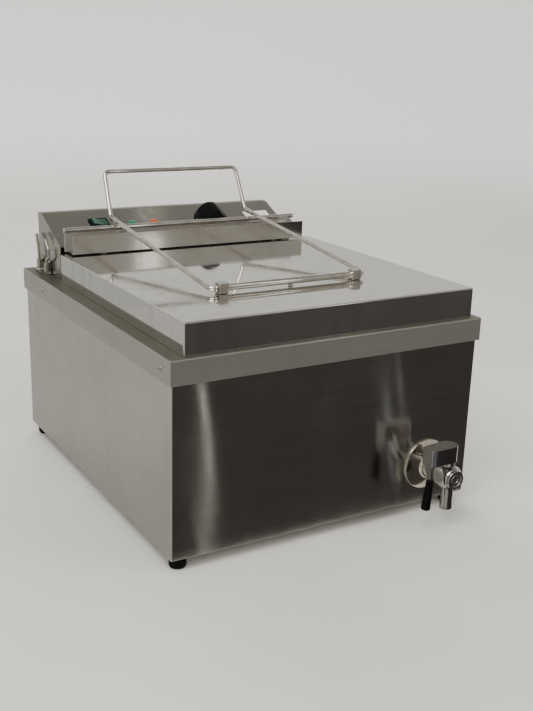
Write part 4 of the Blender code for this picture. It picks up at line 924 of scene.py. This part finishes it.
def screw_head():
    """A domed head with a cross recess, standing on local Z = 0, with a short shank below."""
    profile = [(0.0, HEAD_DOME)]
    for step in range(1, DOME_STEPS + 1):
        angle = math.pi / 2 * step / DOME_STEPS
        rise = (HEAD_DOME - HEAD_EDGE) * math.cos(angle)
        profile.append((HEAD_RADIUS * math.sin(angle), HEAD_EDGE + rise))
    profile += [(HEAD_RADIUS, HEAD_UNDERSIDE), (SHANK_RADIUS, HEAD_UNDERSIDE),
                (SHANK_RADIUS, -SHANK_LENGTH), (0.0, -SHANK_LENGTH)]
    head = turned_mesh("screw_head", profile, 24)
    cutters = []
    for index in range(2):
        bar = add(f"recess_{index}", bpy.data.meshes.new("recess"))
        bm = bmesh.new()
        size = Vector((HEAD_RADIUS, RECESS_WIDTH, 2 * RECESS_DEPTH))
        bmesh.ops.create_cube(bm, size=1.0)
        bmesh.ops.scale(bm, vec=size, verts=bm.verts)
        bmesh.ops.translate(bm, vec=(0, 0, HEAD_DOME), verts=bm.verts)
        turn = Matrix.Rotation(index * math.pi / 2 + RECESS_TURN, 3, "Z")
        bmesh.ops.rotate(bm, matrix=turn, verts=bm.verts)
        bm.to_mesh(bar.data)
        bm.free()
        cut = head.modifiers.new("recess", "BOOLEAN")
        cut.solver = "EXACT"
        cut.object = bar
        cutters.append(bar)
    head = bake(head)
    for bar in cutters:
        bpy.data.objects.remove(bar, do_unlink=True)
    return smooth(head, 40)


template = screw_head()
print("screw head:", len(template.data.polygons), "faces")

# %% Screws on a rectangle
SCREWS, given, end = new_tree("screws on a rectangle", [
    ("Head", "NodeSocketObject"), ("Width", FLOAT), ("Depth", FLOAT), ("Centre", "NodeSocketVector"),
    ("Material", MATERIAL)])
grid = node(SCREWS, "GeometryNodeMeshGrid", {0: given["Width"], 1: given["Depth"], 2: 2, 3: 2}).outputs[0]
place = node(SCREWS, "GeometryNodeInputPosition").outputs[0]
x_place = node(SCREWS, "ShaderNodeSeparateXYZ", {0: place}).outputs[0]
facing = maths(SCREWS, "MULTIPLY", maths(SCREWS, "SIGN", x_place), math.pi / 2)
turn = node(SCREWS, "ShaderNodeCombineXYZ", {1: facing}).outputs[0]
head = node(SCREWS, "GeometryNodeObjectInfo", {0: given["Head"]}).outputs["Geometry"]
placed = node(SCREWS, "GeometryNodeInstanceOnPoints", {"Points": grid, "Instance": head,
                                                       "Rotation": turn}).outputs[0]
moved = node(SCREWS, "GeometryNodeTransform", {"Geometry": placed,
                                               "Translation": given["Centre"]}).outputs[0]
end_tree(SCREWS, moved, given["Material"], end)
print("tree:", SCREWS.name)

# %% Deck screws
boxes = {name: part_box(name) for name in NODES if name.startswith("deck_screw")}
middles = {name: (low + high) / 2 for name, (low, high) in boxes.items()}
front, height = middles["deck_screw_left_front"][1:]
rear = middles["deck_screw_left_rear"][1]
right_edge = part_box("top_deck")[1][0]
screws = run_tree("deck_screws", SCREWS, {
    "Head": template, "Width": 2 * right_edge, "Depth": rear - front,
    "Centre": (0.0, (front + rear) / 2, height), "Material": CHROME})
bpy.data.objects.remove(template, do_unlink=True)
claim(screws, CHROME, *sorted(boxes))
print("screws:", len(boxes), "triangles:", sum(len(p.vertices) - 2 for p in screws.data.polygons))

# %% [markdown]
# The knob's skirt carries a ring of small printed dots. The tree puts a low disc on each point
# of a circle, and the ring is then laid in the knob's own frame, which leans with the panel.

# %% Ring of dots
DOTS, given, end = new_tree("ring of dots", [
    ("Count", "NodeSocketInt"), ("Ring Radius", FLOAT), ("Dot Radius", FLOAT), ("Dot Height", FLOAT),
    ("Material", MATERIAL)])
ring = node(DOTS, "GeometryNodeMeshCircle", {"Vertices": given["Count"],
                                             "Radius": given["Ring Radius"]}).outputs[0]
dot = node(DOTS, "GeometryNodeMeshCylinder", {"Vertices": 14, "Radius": given["Dot Radius"],
                                              "Depth": given["Dot Height"]}).outputs[0]
dots = node(DOTS, "GeometryNodeInstanceOnPoints", {"Points": ring, "Instance": dot}).outputs[0]
end_tree(DOTS, dots, given["Material"], end)
print("tree:", DOTS.name)

# %% Knob marks
DOT_COUNT = 12
DOT_RING = 0.0264
DOT_RADIUS = 0.00045
DOT_HEIGHT = 0.0003
KNOB_PIVOT = 0.010                # the joint's place above the panel
SKIRT_TOP = 0.0036
knob_at = Vector(joint["knob_turn"]["pos_m"])
knob_axis = Vector(joint["knob_turn"]["axis"])
knob_frame = Matrix.Translation(knob_at - knob_axis * KNOB_PIVOT) @ Matrix.Rotation(SLOPE, 4, "X")
marks = run_tree("knob_marks", DOTS, {"Count": DOT_COUNT, "Ring Radius": DOT_RING,
                                      "Dot Radius": DOT_RADIUS, "Dot Height": DOT_HEIGHT, "Material": INK})
marks.data.transform(knob_frame @ Matrix.Translation((0, 0, SKIRT_TOP)))
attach(marks, "knob")
print("knob marks:", DOT_COUNT)

# %% [markdown]
# Where the bail's wire bends it is made of two lengths, joined in a short sleeve. Two more
# sleeves, with rounded ends, cover the wire between each hinge block and the first bend. They
# are turned shapes, laid along the wire.

# %% Bail sleeves
SLEEVE_BORE = BAIL_RADIUS - 0.0002
SLEEVE_LIP = 0.0006
JOINT_WALL = 0.0007
JOINT_LENGTH = 0.016
JOINT_START = 0.0065
BOSS_WALL = 0.0014
BOSS_LENGTH = 0.0030
BOSS_GAP = 0.0006


def sleeve(name, start, along, length, radius):
    """A short tube with rounded ends along a direction."""
    lip = min(SLEEVE_LIP, (radius - SLEEVE_BORE) * 0.8)
    profile = [(SLEEVE_BORE, length), (radius - lip, length), (radius, length - lip), (radius, lip),
               (radius - lip, 0.0), (SLEEVE_BORE, 0.0), (SLEEVE_BORE, length)]
    piece = bake(turned_mesh(name, profile))
    turn = Vector((0, 0, 1)).rotation_difference(Vector(along)).to_matrix().to_4x4()
    piece.data.transform(Matrix.Translation(start) @ turn)
    smooth(piece, 50)
    piece.data.materials.append(WIRE)
    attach(piece, "bail")


for side, sign in (("left", -1), ("right", 1)):
    kink = hinge + Vector((sign * BAIL_KINK.x, BAIL_KINK.y, BAIL_KINK.z))
    elbow = hinge + Vector((sign * BAIL_HALF, 0, 0))
    back = (elbow - kink).normalized()
    sleeve(f"bail_joint_{side}", kink + back * JOINT_START, back, JOINT_LENGTH, BAIL_RADIUS + JOINT_WALL)
    boss_at = BAIL_HALF - BLOCK_INSET + BLOCK_HALF + BOSS_GAP
    sleeve(f"bail_boss_{side}", hinge + Vector((sign * boss_at, 0, 0)), (sign, 0, 0), BOSS_LENGTH,
           BAIL_RADIUS + BOSS_WALL)
print("bail sleeves: 4")
